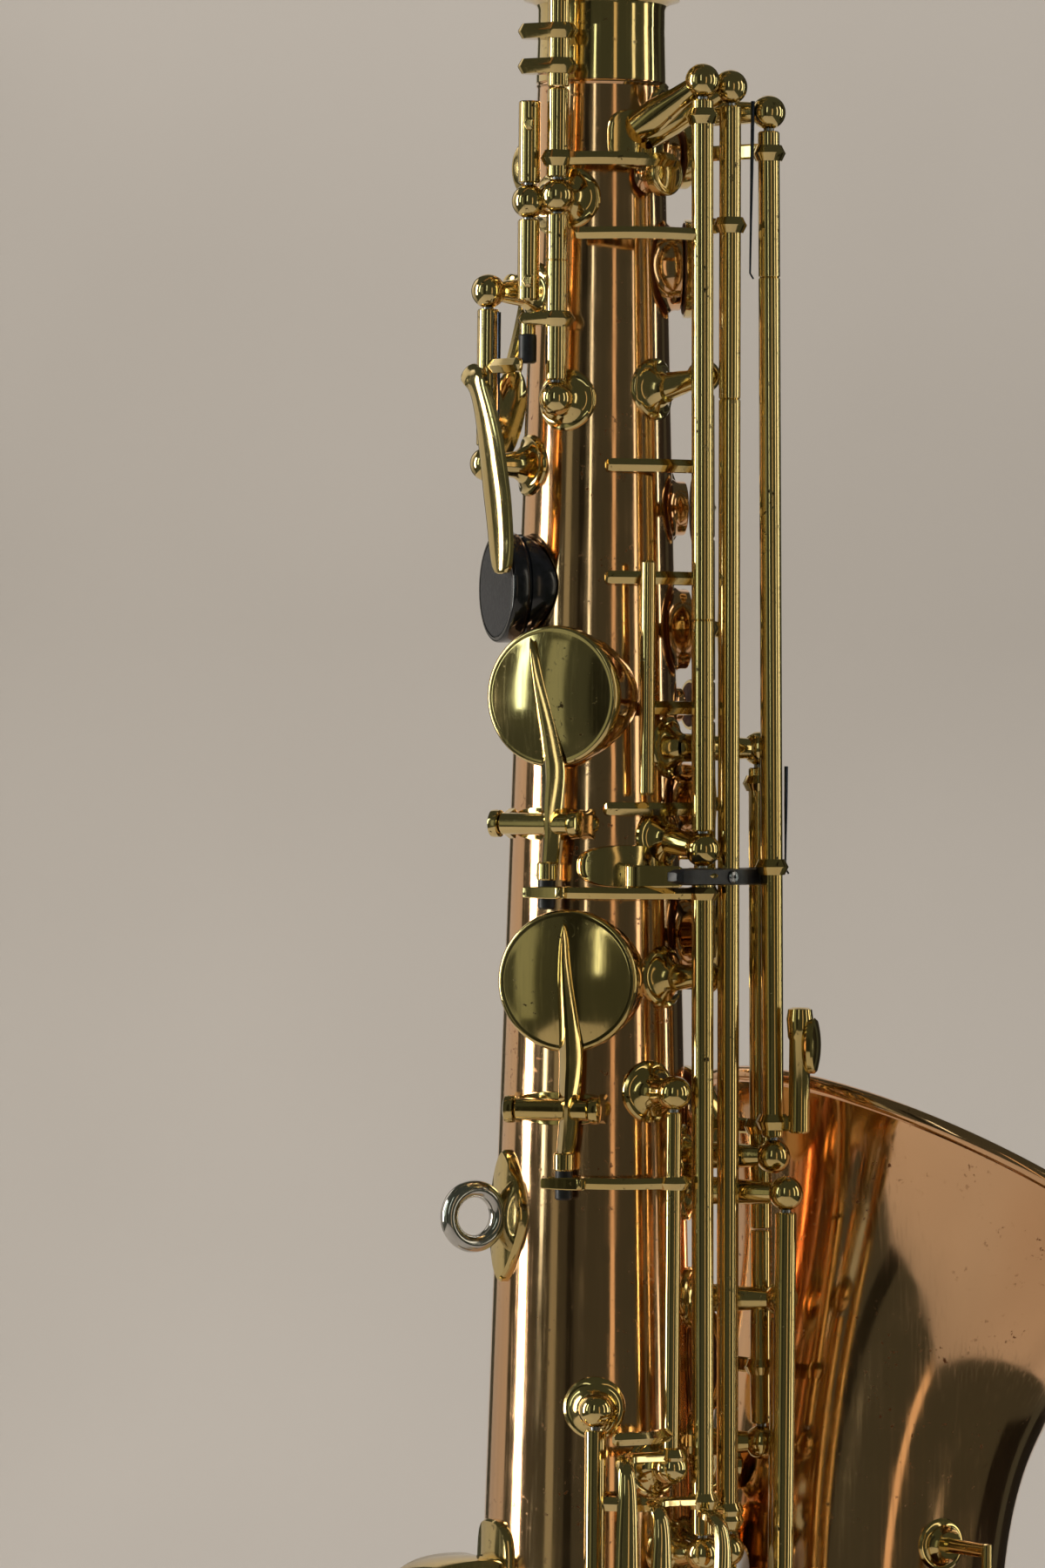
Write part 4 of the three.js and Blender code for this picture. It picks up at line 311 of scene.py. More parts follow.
def flange(line, height, angle, radius, hub=4.1, tip=2.3, tall=2.8):
    """A drop-shaped plate from a hinge line: the outline of two circles and their common tangents, whose
    edge rises to a ridge at half its height."""
    heart, end = on_line(line, height), polar(angle, radius, height)
    length = np.linalg.norm(end - heart)
    ahead = (end - heart) / length
    side = np.cross(UP, ahead)
    turn = np.arccos((hub - tip) / length)
    back = np.linspace(turn, 2 * np.pi - turn, 25)
    front = np.linspace(-turn, turn, 17)
    t = np.concatenate([back, front])[None, :, None]
    middle = np.concatenate([np.zeros(25), np.full(17, length)])[None, :, None]
    size = np.concatenate([np.full(25, hub), np.full(17, tip)])[None, :, None]
    inset = np.array([0.9, 0.15, 0, 0.15, 0.9])[:, None, None]
    rise = np.array([-0.5, -0.12, 0, 0.12, 0.5])[:, None, None] * tall
    ring = (size - inset) * (np.cos(t) * ahead + np.sin(t) * side)
    return closed(heart + middle * ahead + ring + rise * UP)


def level_arm(line, height, stops, width=3.3, thick=2.3, section=RIDGED):
    """An arm square to the tube, from a hinge line through [azimuth, radius] stops."""
    points = [on_line(line, height)] + [polar(angle, radius, height) for angle, radius in stops]
    return strap(curved(points), width, thick, section=section)


# Tone holes: share of the height, azimuth, radius.
HOLES = {
    "octave": (0.881, 13, 2.2),
    "palm_f": (0.8868, 190, 5.2),
    "high_f_sharp": (0.8915, 75, 4.6),
    "palm_e_flat": (0.842, 121, 5.6),
    "high_e": (0.8447, 60, 8.2),
    "palm_d": (0.8057, 163, 5.8),
    "c_vent": (0.7468, 66, 5),
    "b": (0.6974, 66, 7.8),
    "bis": (0.6666, 84, 3),
    "side_c": (0.6689, -57.5, 12.7),
    "a": (0.626, 66, 8),
    "side_b_flat": (0.5543, -46.5, 12.7),
    "g": (0.5728, 68, 9),
    "g_sharp": (0.4943, 94, 10),
    "f_sharp": (0.3962, 95, 10.5),
    "f": (0.3132, 85, 11),
    "e": (0.2491, 85, 11.7),
    "d": (0.1811, 85, 12.5),
    "e_flat": (0.117, -15, 13),
}
# Holes of the bow and the bell: distance from the body's axis, share, side, radius, tube's radius.
BELL_HOLES = {
    "low_c": (0, -0.0415, -1, 14.5, BOTTOM_RADIUS),
    "low_c_sharp": (BELL_DISTANCE, 0.094, 1, 13.5, BELL_THROAT),
    "low_b": (BELL_DISTANCE, 0.179, -1, 15.5, BELL_THROAT),
    "low_b_flat": (BELL_DISTANCE, 0.2736, -1, 16, BELL_THROAT),
}


def hole_of(name):
    """Rim centre, facing direction and radius of a tone hole."""
    if name in HOLES:
        share, angle, radius = HOLES[name]
        return polar(angle, float(tube_radius(up(share))) + CHIMNEY_RISE, up(share)), outward(angle), radius
    along, share, side, radius, tube = BELL_HOLES[name]
    return np.array([along, side * (tube + CHIMNEY_RISE), up(share)]), np.array([0.0, side, 0.0]), radius


def chimney(name):
    """A drawn tone hole: a skirt that flows out of the skin, a wall, a rolled rim and a bore."""
    _, _, radius = hole_of(name)
    outer = radius + 0.9
    rise = CHIMNEY_RISE
    rows = [
        (outer + 1.5, -0.35, 0),
        (outer + 0.6, 0.15, 0),
        (outer + 0.12, 0.75, 0.2),
        (outer, 1.3, 0.6),
        (outer, rise - 0.45, 1),
        (outer - 0.12, rise - 0.12, 1),
        (outer - 0.45, rise, 1),
        (outer - 0.8, rise - 0.12, 1),
        (radius, rise - 0.45, 1),
        (radius, -0.4, 0),
    ]
    sides = 64 if radius > 9 else 44
    if name in HOLES:
        share, angle, _ = HOLES[name]
        return seated(rows, angle, up(share), sides)
    along, share, side, _, tube = BELL_HOLES[name]
    return seated(rows, 0, up(share), sides, middle=along, direction=(0, side, 0), radius=tube)


def cup(name, dome=1.5):
    """A pad cup: a straight skirt, a rounded shoulder with a fine step, and a dome whose rise falls
    with the square of the way to its edge."""
    rim, axis, radius = hole_of(name)
    edge = radius + CUP_MARGIN
    low, high = GAP + 0.3, GAP + CUP_HEIGHT - 0.5
    t = np.linspace(1, 0.02, 14)
    shoulder = np.linspace(0, np.pi / 2, 6)
    rows = [(edge - 0.8, low + 0.4), (edge - 0.7, low), (edge - 0.15, low), (edge, low + 0.15)]
    rows += [(edge - 0.9 + 0.9 * np.cos(s), high - 0.9 + 0.9 * np.sin(s)) for s in shoulder]
    inner = edge - 1.5
    rows += [(inner + 0.25, high - 0.05), (inner, high)]
    rows += [(inner * s, high + dome * (1 - s**2)) for s in t[1:]]
    return turned(rows, rim, axis, 80 if radius > 9 else 56)


def pad(name):
    """A leather pad in its cup: a disc with a soft rounded edge that rests a gap off the rim."""
    rim, axis, radius = hole_of(name)
    edge = radius + CUP_MARGIN - 0.45
    turn = np.linspace(-np.pi / 2, np.pi / 2, 9)
    rows = [(0.02, 0.42), (radius * 0.9, 0.32), (radius, 0.45), (radius + 0.9, 0.34)]
    rows += [(edge - 0.7 + 0.7 * np.cos(t), 1.1 + 0.7 * np.sin(t)) for t in turn]
    rows += [(0.02, 1.8)]
    return turned(rows, rim, axis, 56)


def cup_arm(line, name, height=None, width=3.3):
    """The arm from a hinge line over the near edge of a cup to its middle."""
    rim, axis, radius = hole_of(name)
    height = rim[2] if height is None else height
    start = on_line(line, height)
    side = np.cross(UP, axis)
    near = side * np.sign(np.dot(start - rim, side))
    edge = radius + CUP_MARGIN
    rise = GAP + CUP_HEIGHT + 0.5
    elbow = rim + near * edge + axis * rise
    end = rim - near * edge / 3 + axis * rise
    points = np.array([start, elbow, end])
    points[:, 2] = height
    return strap(curved(points), [width, width, width * 0.7], [2.3, 2.3, 1.6])


def pearl_holder(foot, axis, radius=6.2):
    """A pearl's round holder: a shallow bowl with a rolled rim."""
    rows = [(1.6, -2.2), (1.8, -0.6), (radius - 1, -0.3), (radius, 0.4), (radius + 0.1, 1.2), (radius - 0.35, 1.6), (radius - 0.7, 1.2)]
    return turned(rows, foot, axis, 44)


def pearl(foot, axis, radius=6.2):
    """The pearl itself: a low crowned disc, dished a little in its middle."""
    s = np.linspace(1, 0.02, 14)
    rows = [(radius - 0.75, 0.3)] + [((radius - 0.75) * t, 1.2 + 1.5 * (1 - t**4) - 0.5 * (1 - t**2)) for t in s]
    return turned(rows, foot, axis, 44)


# Colours and materials


def colour(code):
    """Linear colour from sRGB hex: c/12.92 below 0.04045, else ((c + 0.055)/1.055) to the 2.4."""
    srgb = np.array([int(code[i : i + 2], 16) for i in (0, 2, 4)]) / 255
    linear = np.where(srgb <= 0.04045, srgb / 12.92, ((srgb + 0.055) / 1.055) ** 2.4)
    return (*linear.tolist(), 1.0)


def add(tree, kind, sockets=None, **settings):
    """Adds a node. Settings are its own; sockets are values, or sockets of other nodes to link."""
    node = tree.nodes.new(kind)
    for name, value in settings.items():
        setattr(node, name, value)
    for name, value in (sockets or {}).items():
        if isinstance(value, bpy.types.NodeSocket):
            tree.links.new(value, node.inputs[name])
        else:
            node.inputs[name].default_value = value
    return node


def per_metre(size):
    """A pattern's scale from the size of its grain in millimetres."""
    return 1000 / size


def pattern(tree, size, stretch=(1, 1, 1), detail=2.0, rough=0.5):
    """Noise on Object coordinates with a grain of a size in millimetres, stretched along the axes."""
    place = add(tree, "ShaderNodeTexCoord").outputs["Object"]
    mapped = add(tree, "ShaderNodeMapping", {"Vector": place, "Scale": tuple(1 / s for s in stretch)})
    return add(
        tree,
        "ShaderNodeTexNoise",
        {"Vector": mapped.outputs["Vector"], "Scale": per_metre(size), "Detail": detail, "Roughness": rough},
    ).outputs["Fac"]


def ranged(tree, value, low, high, to_low=0.0, to_high=1.0):
    """A value moved from one range to another and kept inside it."""
    sockets = {"Value": value, "From Min": low, "From Max": high, "To Min": to_low, "To Max": to_high}
    return add(tree, "ShaderNodeMapRange", sockets, clamp=True).outputs["Result"]


def mixed(tree, amount, first, second):
    """Two colours mixed by an amount."""
    node = add(tree, "ShaderNodeMix", {"Factor": amount}, data_type="RGBA")
    for socket, value in ((node.inputs[6], first), (node.inputs[7], second)):
        if isinstance(value, bpy.types.NodeSocket):
            tree.links.new(value, socket)
        else:
            socket.default_value = value
    return node.outputs[2]


def begin(name):
    """A new node material with only its shader and output."""
    made = bpy.data.materials.new(name)
    made.use_nodes = True
    tree = made.node_tree
    tree.nodes.clear()
    shader = add(tree, "ShaderNodeBsdfPrincipled")
    add(tree, "ShaderNodeOutputMaterial", {"Surface": shader.outputs["BSDF"]})
    return made, tree, shader


def finish_with(tree, shader, colour_socket, rough_socket, height=None, bump=0.0, reach=0.0002):
    """Links colour and roughness, and a height as a bump of some strength and reach in metres."""
    tree.links.new(colour_socket, shader.inputs["Base Color"])
    tree.links.new(rough_socket, shader.inputs["Roughness"])
    if height is not None:
        lifted = add(tree, "ShaderNodeBump", {"Height": height, "Strength": bump, "Distance": reach})
        tree.links.new(lifted.outputs["Normal"], shader.inputs["Normal"])


def lacquered(name, main, deep, stain, rough=0.12, speck=0.62):
    """Polished brass under clear lacquer: a mirror with slow changes of tone, small dark specks where
    the lacquer has worn through, and hairline scratches along the tube."""
    made, tree, shader = begin(name)
    tone = ranged(tree, pattern(tree, 45, (1, 1, 3)), 0.35, 0.65)
    base = mixed(tree, tone, colour(main), colour(deep))
    # specks of half a millimetre to one and a half, drawn a little coarser than real ones
    specks = ranged(tree, pattern(tree, 1.6, detail=3, rough=0.6), speck, speck + 0.07)
    patches = ranged(tree, pattern(tree, 14, detail=1), 0.45, 0.62)
    worn = add(tree, "ShaderNodeMath", {0: specks, 1: patches}, operation="MULTIPLY").outputs[0]
    base = mixed(tree, worn, base, colour(stain))
    hairs = ranged(tree, pattern(tree, 0.7, (1, 1, 40), detail=1), 0.5, 0.75, 0.0, 0.07)
    film = ranged(tree, pattern(tree, 9), 0.3, 0.8, rough, rough + 0.07)
    sheen = add(tree, "ShaderNodeMath", {0: hairs, 1: film}, operation="ADD").outputs[0]
    dull = add(tree, "ShaderNodeMath", {0: worn, 1: 0.3, 2: sheen}, operation="MULTIPLY_ADD").outputs[0]
    finish_with(tree, shader, base, dull, pattern(tree, 11, (1, 1, 2)), 0.25, 0.00012)
    shader.inputs["Metallic"].default_value = 1.0
    shader.inputs["Coat Weight"].default_value = 0.35
    shader.inputs["Coat Roughness"].default_value = 0.06
    return made


def plated(name, main, deep, rough, grain=0.8, metallic=1.0):
    """Plated or blued metal: even tone with fine polishing marks."""
    made, tree, shader = begin(name)
    base = mixed(tree, ranged(tree, pattern(tree, 6), 0.3, 0.7), colour(main), colour(deep))
    marks = ranged(tree, pattern(tree, grain, (1, 1, 6)), 0.3, 0.7, rough, rough + 0.1)
    finish_with(tree, shader, base, marks, pattern(tree, 3), 0.15, 0.00005)
    shader.inputs["Metallic"].default_value = metallic
    return made


def moulded(name, main, deep, rough, grain, bump, coat=0.0):
    """Plastic, ebonite, leather, cork or cane: two tones by grain, with the grain as relief."""
    made, tree, shader = begin(name)
    relief = pattern(tree, grain, detail=4)
    base = mixed(tree, ranged(tree, relief, 0.35, 0.65), colour(main), colour(deep))
    sheen = ranged(tree, pattern(tree, grain * 2), 0.3, 0.7, rough, min(1.0, rough + 0.12))
    finish_with(tree, shader, base, sheen, relief, bump, 0.0002)
    shader.inputs["Metallic"].default_value = 0.0
    shader.inputs["Coat Weight"].default_value = coat
    shader.inputs["Coat Roughness"].default_value = 0.08
    return made


bronze = lacquered("phosphor_bronze_lacquered", "edc194", "e2b183", "7a4a28", 0.07)
brass = lacquered("yellow_brass_lacquered", "e2cb90", "d4ba78", "4a3a1c", 0.07)
silver = plated("silver_plated_brass", "d8d6d2", "b9b6b0", 0.08)
blued = plated("blued_spring_steel", "4c5566", "343b49", 0.22)
steel = plated("turned_steel", "a8a9ab", "85878a", 0.2)
resin = moulded("black_phenolic_polished", "0d0d10", "15151a", 0.12, 1.2, 0.05, 0.4)
resin_face = moulded("black_phenolic_grained", "1a1a1e", "2a2a2f", 0.42, 0.55, 0.6)
sleeve_nylon = moulded("black_nylon_sleeve", "101012", "1c1c20", 0.35, 1.0, 0.15)
leather = moulded("tan_kid_leather", "7a4a2c", "5d3520", 0.55, 0.9, 0.4)
felt_black = moulded("black_felt", "17171a", "26262a", 0.9, 0.5, 0.7)
shell_pearl = moulded("mother_of_pearl", "efe9e0", "d9d6dc", 0.15, 5.0, 0.02, 0.6)
cork_sheet = moulded("cork_sheet", "b98a5a", "8d6440", 0.8, 1.4, 0.5)
ebonite = moulded("ebonite_polished", "0c0c0e", "141416", 0.14, 2.0, 0.03, 0.5)
cane_reed = moulded("cane_reed", "dcc38a", "c7a868", 0.55, 0.8, 0.3)


def piece(name, parts, finish, body="instrument", nodes=(), sharp=32.0):
    """One object from parts: their points run on in one list, moved to the row frame in metres."""
    parts = [parts] if isinstance(parts, tuple) else parts
    points = np.concatenate([p for p, _ in parts])
    starts = np.cumsum([0] + [len(p) for p, _ in parts])
    faces = [[i + start for i in face] for start, (_, fs) in zip(starts, parts) for face in fs]
    mesh = bpy.data.meshes.new(name)
    mesh.from_pydata(((points - RING_CENTRE) / 1000).tolist(), [], faces)
    mesh.update()
    return settle(name, mesh, finish, body, nodes, sharp)


def settle(name, mesh, finish, body, nodes, sharp):
    """Shades a mesh smooth but for its sharp edges, gives it its finish and lets it ride."""
    mesh.shade_smooth()
    mesh.set_sharp_from_angle(angle=np.radians(sharp))
    made = bpy.data.objects.new(name, mesh)
    bpy.context.scene.collection.objects.link(made)
    mesh.materials.append(finish)
    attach(made, body)
    if nodes:
        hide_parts(*nodes)
    return made


def bored(name, shell_parts, cutters, finish, body, nodes, sharp=32.0, crossed=False):
    """A shell with holes: the cutters are taken away from it by an exact Boolean, which is applied."""
    shell = piece(name, shell_parts, finish, body, nodes, sharp)
    tool = piece(name + "_cutter", cutters, finish, body)
    step = shell.modifiers.new("holes", "BOOLEAN")
    step.operation = "DIFFERENCE"
    step.solver = "EXACT"
    step.use_self = crossed
    step.object = tool
    bpy.context.view_layer.update()
    done = bpy.data.meshes.new_from_object(shell.evaluated_get(bpy.context.evaluated_depsgraph_get()))
    shell.modifiers.clear()
    shell.data = done
    bpy.data.objects.remove(tool)
    done.shade_smooth()
    done.set_sharp_from_angle(angle=np.radians(sharp))
    return shell


def drill(name, depth=8.0):
    """The cutter of a tone hole: a bar from inside the bore to past the chimney's rim."""
    rim, axis, radius = hole_of(name)
    return bar(rim - axis * depth, rim + axis * 2, radius - 0.02, 64 if radius > 9 else 44, 0.01)


# Body tube, bow and bell


def tube_shell(low, high, wall=1.0, rows=60):
    """The straight tube: rings of the cone's radius up the outside and back down the inside."""
    z = np.linspace(low, high, rows)
    outer = np.stack([tube_radius(z), z], -1)
    inner = np.stack([tube_radius(z) - wall, z], -1)[::-1]
    turn = np.linspace(0, 2 * np.pi, 128, endpoint=False)
    profile = np.concatenate([outer, inner])
    spokes = np.stack([np.cos(turn), np.sin(turn), np.zeros_like(turn)], -1)
    grid = profile[:, 0, None, None] * spokes + profile[:, 1, None, None] * UP
    return closed(grid, ends=False)


def wall_along(centres, ways, radii, wall, sides=128, bead=0.0):
    """A shell along a path in the plane of body and bell: rings of the radius outside, a rolled bead
    of a radius at the far end if given, and rings thinner by the wall back inside."""
    ways = unit(ways)
    side = np.cross(np.broadcast_to(PLAYER_LEFT, ways.shape), ways)
    rows_c, rows_r, rows_s, rows_w = [centres], [radii], [side], [np.zeros(len(radii))]
    if bead:
        t = np.linspace(-np.pi / 2, np.pi * 1.25, 14)
        rows_c.append(np.repeat(centres[-1:], 14, 0) + (bead * np.sin(t))[:, None] * ways[-1])
        rows_r.append(radii[-1] + bead * np.cos(t))
        rows_s.append(np.repeat(side[-1:], 14, 0))
    rows_c.append(centres[::-1])
    rows_r.append(radii[::-1] - wall)
    rows_s.append(side[::-1])
    centre, radius, spoke = np.concatenate(rows_c), np.concatenate(rows_r), np.concatenate(rows_s)
    turn = np.linspace(0, 2 * np.pi, sides, endpoint=False)
    ring = np.cos(turn)[None, :, None] * spoke[:, None] + np.sin(turn)[None, :, None] * PLAYER_LEFT
    return closed(centre[:, None] + radius[:, None, None] * ring, ends=False)


TUBE_TOP = up(0.948)
tube_holes = list(HOLES)
bored(
    "body_tube_shell",
    [tube_shell(0.3, TUBE_TOP)],
    [drill(name) for name in tube_holes],
    bronze,
    "instrument",
    ["body_tube"],
)
piece("tone_hole_chimneys", [chimney(name) for name in tube_holes], bronze, nodes=["body_tube"])

# The joint where the top sleeve meets the tube, and the ferrule at the bow.
seam_height = up(0.9196) + 0.6
piece(
    "top_joint_line",
    turned([(float(tube_radius(seam_height)) + 0.05, -0.5), (float(tube_radius(seam_height)) + 0.35, 0), (float(tube_radius(seam_height)) + 0.05, 0.5)], (0, 0, seam_height - 1.2), UP, 96),
    bronze,
)

BOW_LEG = 20.0
BELL_START = 31.5
bend = BELL_DISTANCE / 2


def bow_path(count=70):
    """Down one leg, round half a circle and up the other leg, by length."""
    length = 2 * BOW_LEG + np.pi * bend
    s = np.linspace(0.3, length - 0.3, count)
    t = np.clip((s - BOW_LEG) / bend, 0, np.pi)
    down = np.minimum(s, BOW_LEG)
    rise = np.maximum(s - BOW_LEG - np.pi * bend, 0)
    centres = np.stack([bend - bend * np.cos(t), 0 * s, -down - bend * np.sin(t) + rise], -1)
    return centres, np.gradient(centres, axis=0), BOTTOM_RADIUS + (BELL_START - BOTTOM_RADIUS) * s / length


bored("bow_shell", [wall_along(*bow_path(), 1.0)], [drill("low_c")], bronze, "instrument", ["bow"])
piece("bow_chimney", chimney("low_c"), bronze, nodes=["bow"])

RIM_RADIUS = 61.5
RIM_CENTRE = np.array([96.0, 0.0, up(0.4557)])
THROAT = np.array([BELL_DISTANCE, 0.0, up(0.283)])
RIM_AXIS = np.array([np.sin(np.radians(30)), 0.0, np.cos(np.radians(30))])


def bell_path(count=120):
    """A straight stretch, then a cubic curve that leaves it upwards and ends along the rim's axis. The
    radius grows evenly to the throat, and then by a tenth of the way plus nine tenths of its fourth
    power."""
    straight = np.linspace(0.3, THROAT[2], 30)
    t = np.linspace(0, 1, 400)[:, None]
    control = [THROAT, THROAT + UP * bend, RIM_CENTRE - RIM_AXIS * bend, RIM_CENTRE]
    curve = (1 - t) ** 3 * control[0] + 3 * (1 - t) ** 2 * t * control[1] + 3 * (1 - t) * t**2 * control[2] + t**3 * control[3]
    lengths = np.concatenate([[0], np.cumsum(np.linalg.norm(np.diff(curve, axis=0), axis=1))])
    at = np.linspace(0, lengths[-1], count)[1:]
    bent = np.stack([np.interp(at, lengths, curve[:, i]) for i in range(3)], -1)
    low = np.stack([np.full(30, BELL_DISTANCE), np.zeros(30), straight], -1)
    centres = np.concatenate([low, bent])
    way = at / lengths[-1]
    flare = BELL_THROAT + (RIM_RADIUS - BELL_THROAT) * (0.1 * way + 0.9 * way**4)
    radii = np.concatenate([BELL_START + (BELL_THROAT - BELL_START) * straight / THROAT[2], flare])
    return centres, np.gradient(centres, axis=0), radii


bell_holes = ["low_c_sharp", "low_b", "low_b_flat"]
bored("bell_shell", [wall_along(*bell_path(), 1.0, bead=1.9)], [drill(n) for n in bell_holes], bronze, "instrument", ["bell"])
piece("bell_chimneys", [chimney(n) for n in bell_holes], bronze, nodes=["bell"])


def band(distance, radius, name, node):
    """A joint band: a flat ring with two raised beads and rounded rims."""
    inner, outer, half = radius + GAP, radius + GAP + 2, 5.5
    turn = np.linspace(0, 2 * np.pi, 128, endpoint=False)
    rows = [(inner, -half), (outer - 0.5, -half), (outer, -half + 0.5), (outer, -3.2), (outer + 0.5, -2.6), (outer, -2.0)]
    rows += [(outer, 2.0), (outer + 0.5, 2.6), (outer, 3.2), (outer, half - 0.5), (outer - 0.5, half), (inner, half)]
    profile = np.asarray(rows)
    spokes = np.stack([np.cos(turn), np.sin(turn), np.zeros_like(turn)], -1)
    grid = np.array([distance, 0, 0]) + profile[:, 0, None, None] * spokes + profile[:, 1, None, None] * UP
    piece(name, closed(grid, ends=False), brass, nodes=[node])


band(0, BOTTOM_RADIUS, "body_bow_ferrule", "body_bow_band")
band(BELL_DISTANCE, BELL_START, "bell_bow_ferrule", "bell_bow_band")

# The brace between body and bell: a ring on two curved seats.
brace_height = up(0.353)
brace_start, brace_end = float(tube_radius(brace_height)), BELL_DISTANCE - BELL_THROAT
brace_bend = (brace_end - brace_start) / 2 - 1.5
turn = np.linspace(0, 2 * np.pi, 65)[:-1]
brace_middle = np.array([(brace_start + brace_end) / 2, 0, brace_height])


def ring_of(centre, first, second, radius, wire, around_count=96, wire_sides=28):
    """A torus: centre + (radius + wire cos v)(cos u first + sin u second) + wire sin v third."""
    u = np.linspace(0, 2 * np.pi, around_count, endpoint=False)[:, None, None]
    v = np.linspace(0, 2 * np.pi, wire_sides, endpoint=False)[None, :, None]
    third = np.cross(first, second)
    spoke = np.cos(u) * first + np.sin(u) * second
    return closed(centre + (radius + wire * np.cos(v)) * spoke + wire * np.sin(v) * third, ends=False)


def brace_seat(angle, radius, middle):
    """A seat bent to the tube: an oval whose edge and face follow the skin."""
    rows = [(0.02, 0.2, 0), (5.4, 0.2, 0), (5.6, 0.6, 0), (5.2, 1.2, 0), (3.5, 1.7, 0.3), (2.4, 2.4, 1), (0.02, 2.6, 1)]
    return seated(rows, angle, brace_height, 48, middle=middle, radius=radius)


piece(
    "bell_brace_ring",
    [
        ring_of(brace_middle, RIGHT, UP, brace_bend, 1.5),
        brace_seat(90, float(tube_radius(brace_height)), 0),
        brace_seat(-90, BELL_THROAT, BELL_DISTANCE),
    ],
    brass,
    nodes=["bell_brace"],
)

# Posts: line, share, foot's azimuth, foot's share.
POSTS = [
    ("side_c", 0.918, 1, 0.9),
    ("high_e", 0.9165, 8, 0.898),
    ("high_f_sharp", 0.9072, None, None),
    ("side_c", 0.6075, None, 0.612),
    ("side_c", 0.3236, None, None),
    ("high_e", 0.324, None, None),
    ("high_f_sharp", 0.483, None, None),
    ("middle", 0.6487, 30, None),
    ("middle", 0.3652, None, None),
    ("side_b_flat", 0.5094, None, None),
    ("side_b_flat", 0.3585, None, None),
    ("upper", 0.7995, 18, 0.7942),
    ("upper", 0.5556, 18, None),
    ("lower", 0.324, None, None),
    ("lower", 0.147, None, None),
    ("lower", 0.068, None, None),
    ("vent", 0.8711, None, None),
    ("vent", 0.7892, None, None),
    ("rocker", 0.869, None, None),
    ("thumb", 0.8334, None, None),
    ("thumb", 0.7632, None, None),
    ("trill", 0.3823, None, None),
    ("trill", 0.2264, None, None),
    ("bell_high", 0.4245, None, None),
    ("bell_high", 0.2113, None, None),
    ("bell_low", 0.4685, 47, None),
    ("bell_low", 0.1415, 44, None),
    ("low_c_sharp", 0.4943, None, None),
    ("low_c_sharp", 0.049, None, None),
    ("table", 0.6245, None, None),
    ("table", 0.5302, None, None),
]


def post_foot(angle, height, size=6.7, radius=None, middle=0.0, direction=None):
    """A post's foot: a disc bent to the tube, with a rolled rim and a dome that flows into the stem."""
    rows = [(size - 0.2, -0.2, 0), (size, 0.25, 0), (size - 0.1, 0.75, 0), (size - 0.55, 1.05, 0), (size - 1.1, 1.0, 0)]
    rows += [(size - 1.7, 1.25, 0.1), (4.2, 1.75, 0.3), (3.4, 2.5, 0.7), (2.95, 3.4, 1), (0.02, 3.5, 1)]
    return seated(rows, angle, height, 48, middle=middle, direction=direction, radius=radius)


def post_stem(foot, centre, base=3.1):
    """A post's stem and ball: a cone that narrows to a neck, then a sphere."""
    length = np.linalg.norm(np.subtract(centre, foot))
    t = np.linspace(np.pi * 0.79, 0.03, 22)
    neck = length + BALL_RADIUS * np.cos(np.pi * 0.79)
    rows = [(base, 0), (base - 0.1, 0.35 * neck), (2.6, 0.75 * neck), (2.3, neck - 0.4)]
    rows += [(BALL_RADIUS * np.sin(s), length + BALL_RADIUS * np.cos(s)) for s in t]
    return turned(rows, foot, np.subtract(centre, foot), 44)


def post(line, share, foot_angle, foot_share):
    angle = LINES[line][0] if foot_angle is None else foot_angle
    height = up(share if foot_share is None else foot_share)
    foot = polar(angle, float(tube_radius(height)) + 0.6, height)
    if foot_share in ON_PLATE:
        return [post_stem(foot, on_line(line, up(share)), 3.7)]
    return [post_foot(angle, height), post_stem(foot, on_line(line, up(share)))]


ON_PLATE = (0.9, 0.898)
low_c_ball = on_line("bell_low", -1.6 * BOW_LEG)
posts = [part for row in POSTS for part in post(*row)]
piece("key_posts", posts, brass, nodes=["body_tube"])
bow_foot = polar(38, BOTTOM_RADIUS + 0.4, -1.5 * BOW_LEG)
piece("bow_post", [post_foot(38, -1.5 * BOW_LEG, radius=BOTTOM_RADIUS), post_stem(bow_foot, low_c_ball)], brass, nodes=["bow"])

# The pivot screws that show between the balls and the tubes.

def pivot(line, height, way):
    """A pivot: a thin pin from the ball into the tube."""
    return bar(on_line(line, height + way * 2.5), on_line(line, height + way * (BALL_GAP + 1.2)), 1.15, 20, 0.1)


ENDS = {
    ("side_c", 0.918): (-1,), ("high_e", 0.9165): (-1,), ("high_f_sharp", 0.9072): (-1,),
    ("side_c", 0.3236): (1,), ("high_e", 0.324): (1,), ("high_f_sharp", 0.483): (1,),
    ("middle", 0.6487): (-1,), ("middle", 0.3652): (1,), ("side_b_flat", 0.5094): (-1,),
    ("side_b_flat", 0.3585): (1,), ("upper", 0.7995): (-1,), ("upper", 0.5556): (1,),
    ("lower", 0.324): (-1,), ("lower", 0.068): (1,), ("vent", 0.7892): (1,),
    ("thumb", 0.8334): (-1,), ("thumb", 0.7632): (1,), ("trill", 0.3823): (-1,),
    ("trill", 0.2264): (1,), ("bell_high", 0.4245): (-1,), ("bell_high", 0.2113): (1,),
    ("bell_low", 0.4685): (-1,), ("low_c_sharp", 0.4943): (-1,), ("low_c_sharp", 0.049): (1,),
    ("table", 0.6245): (-1,), ("table", 0.5302): (1,),
}
pivots = [pivot(line, up(share), way) for line, share, *_ in POSTS for way in ENDS.get((line, share), (-1, 1))]
pivots.append(pivot("bell_low", -1.6 * BOW_LEG, 1))
piece("pivot_screws", pivots, steel)

# The plate under the top posts of the side keys.


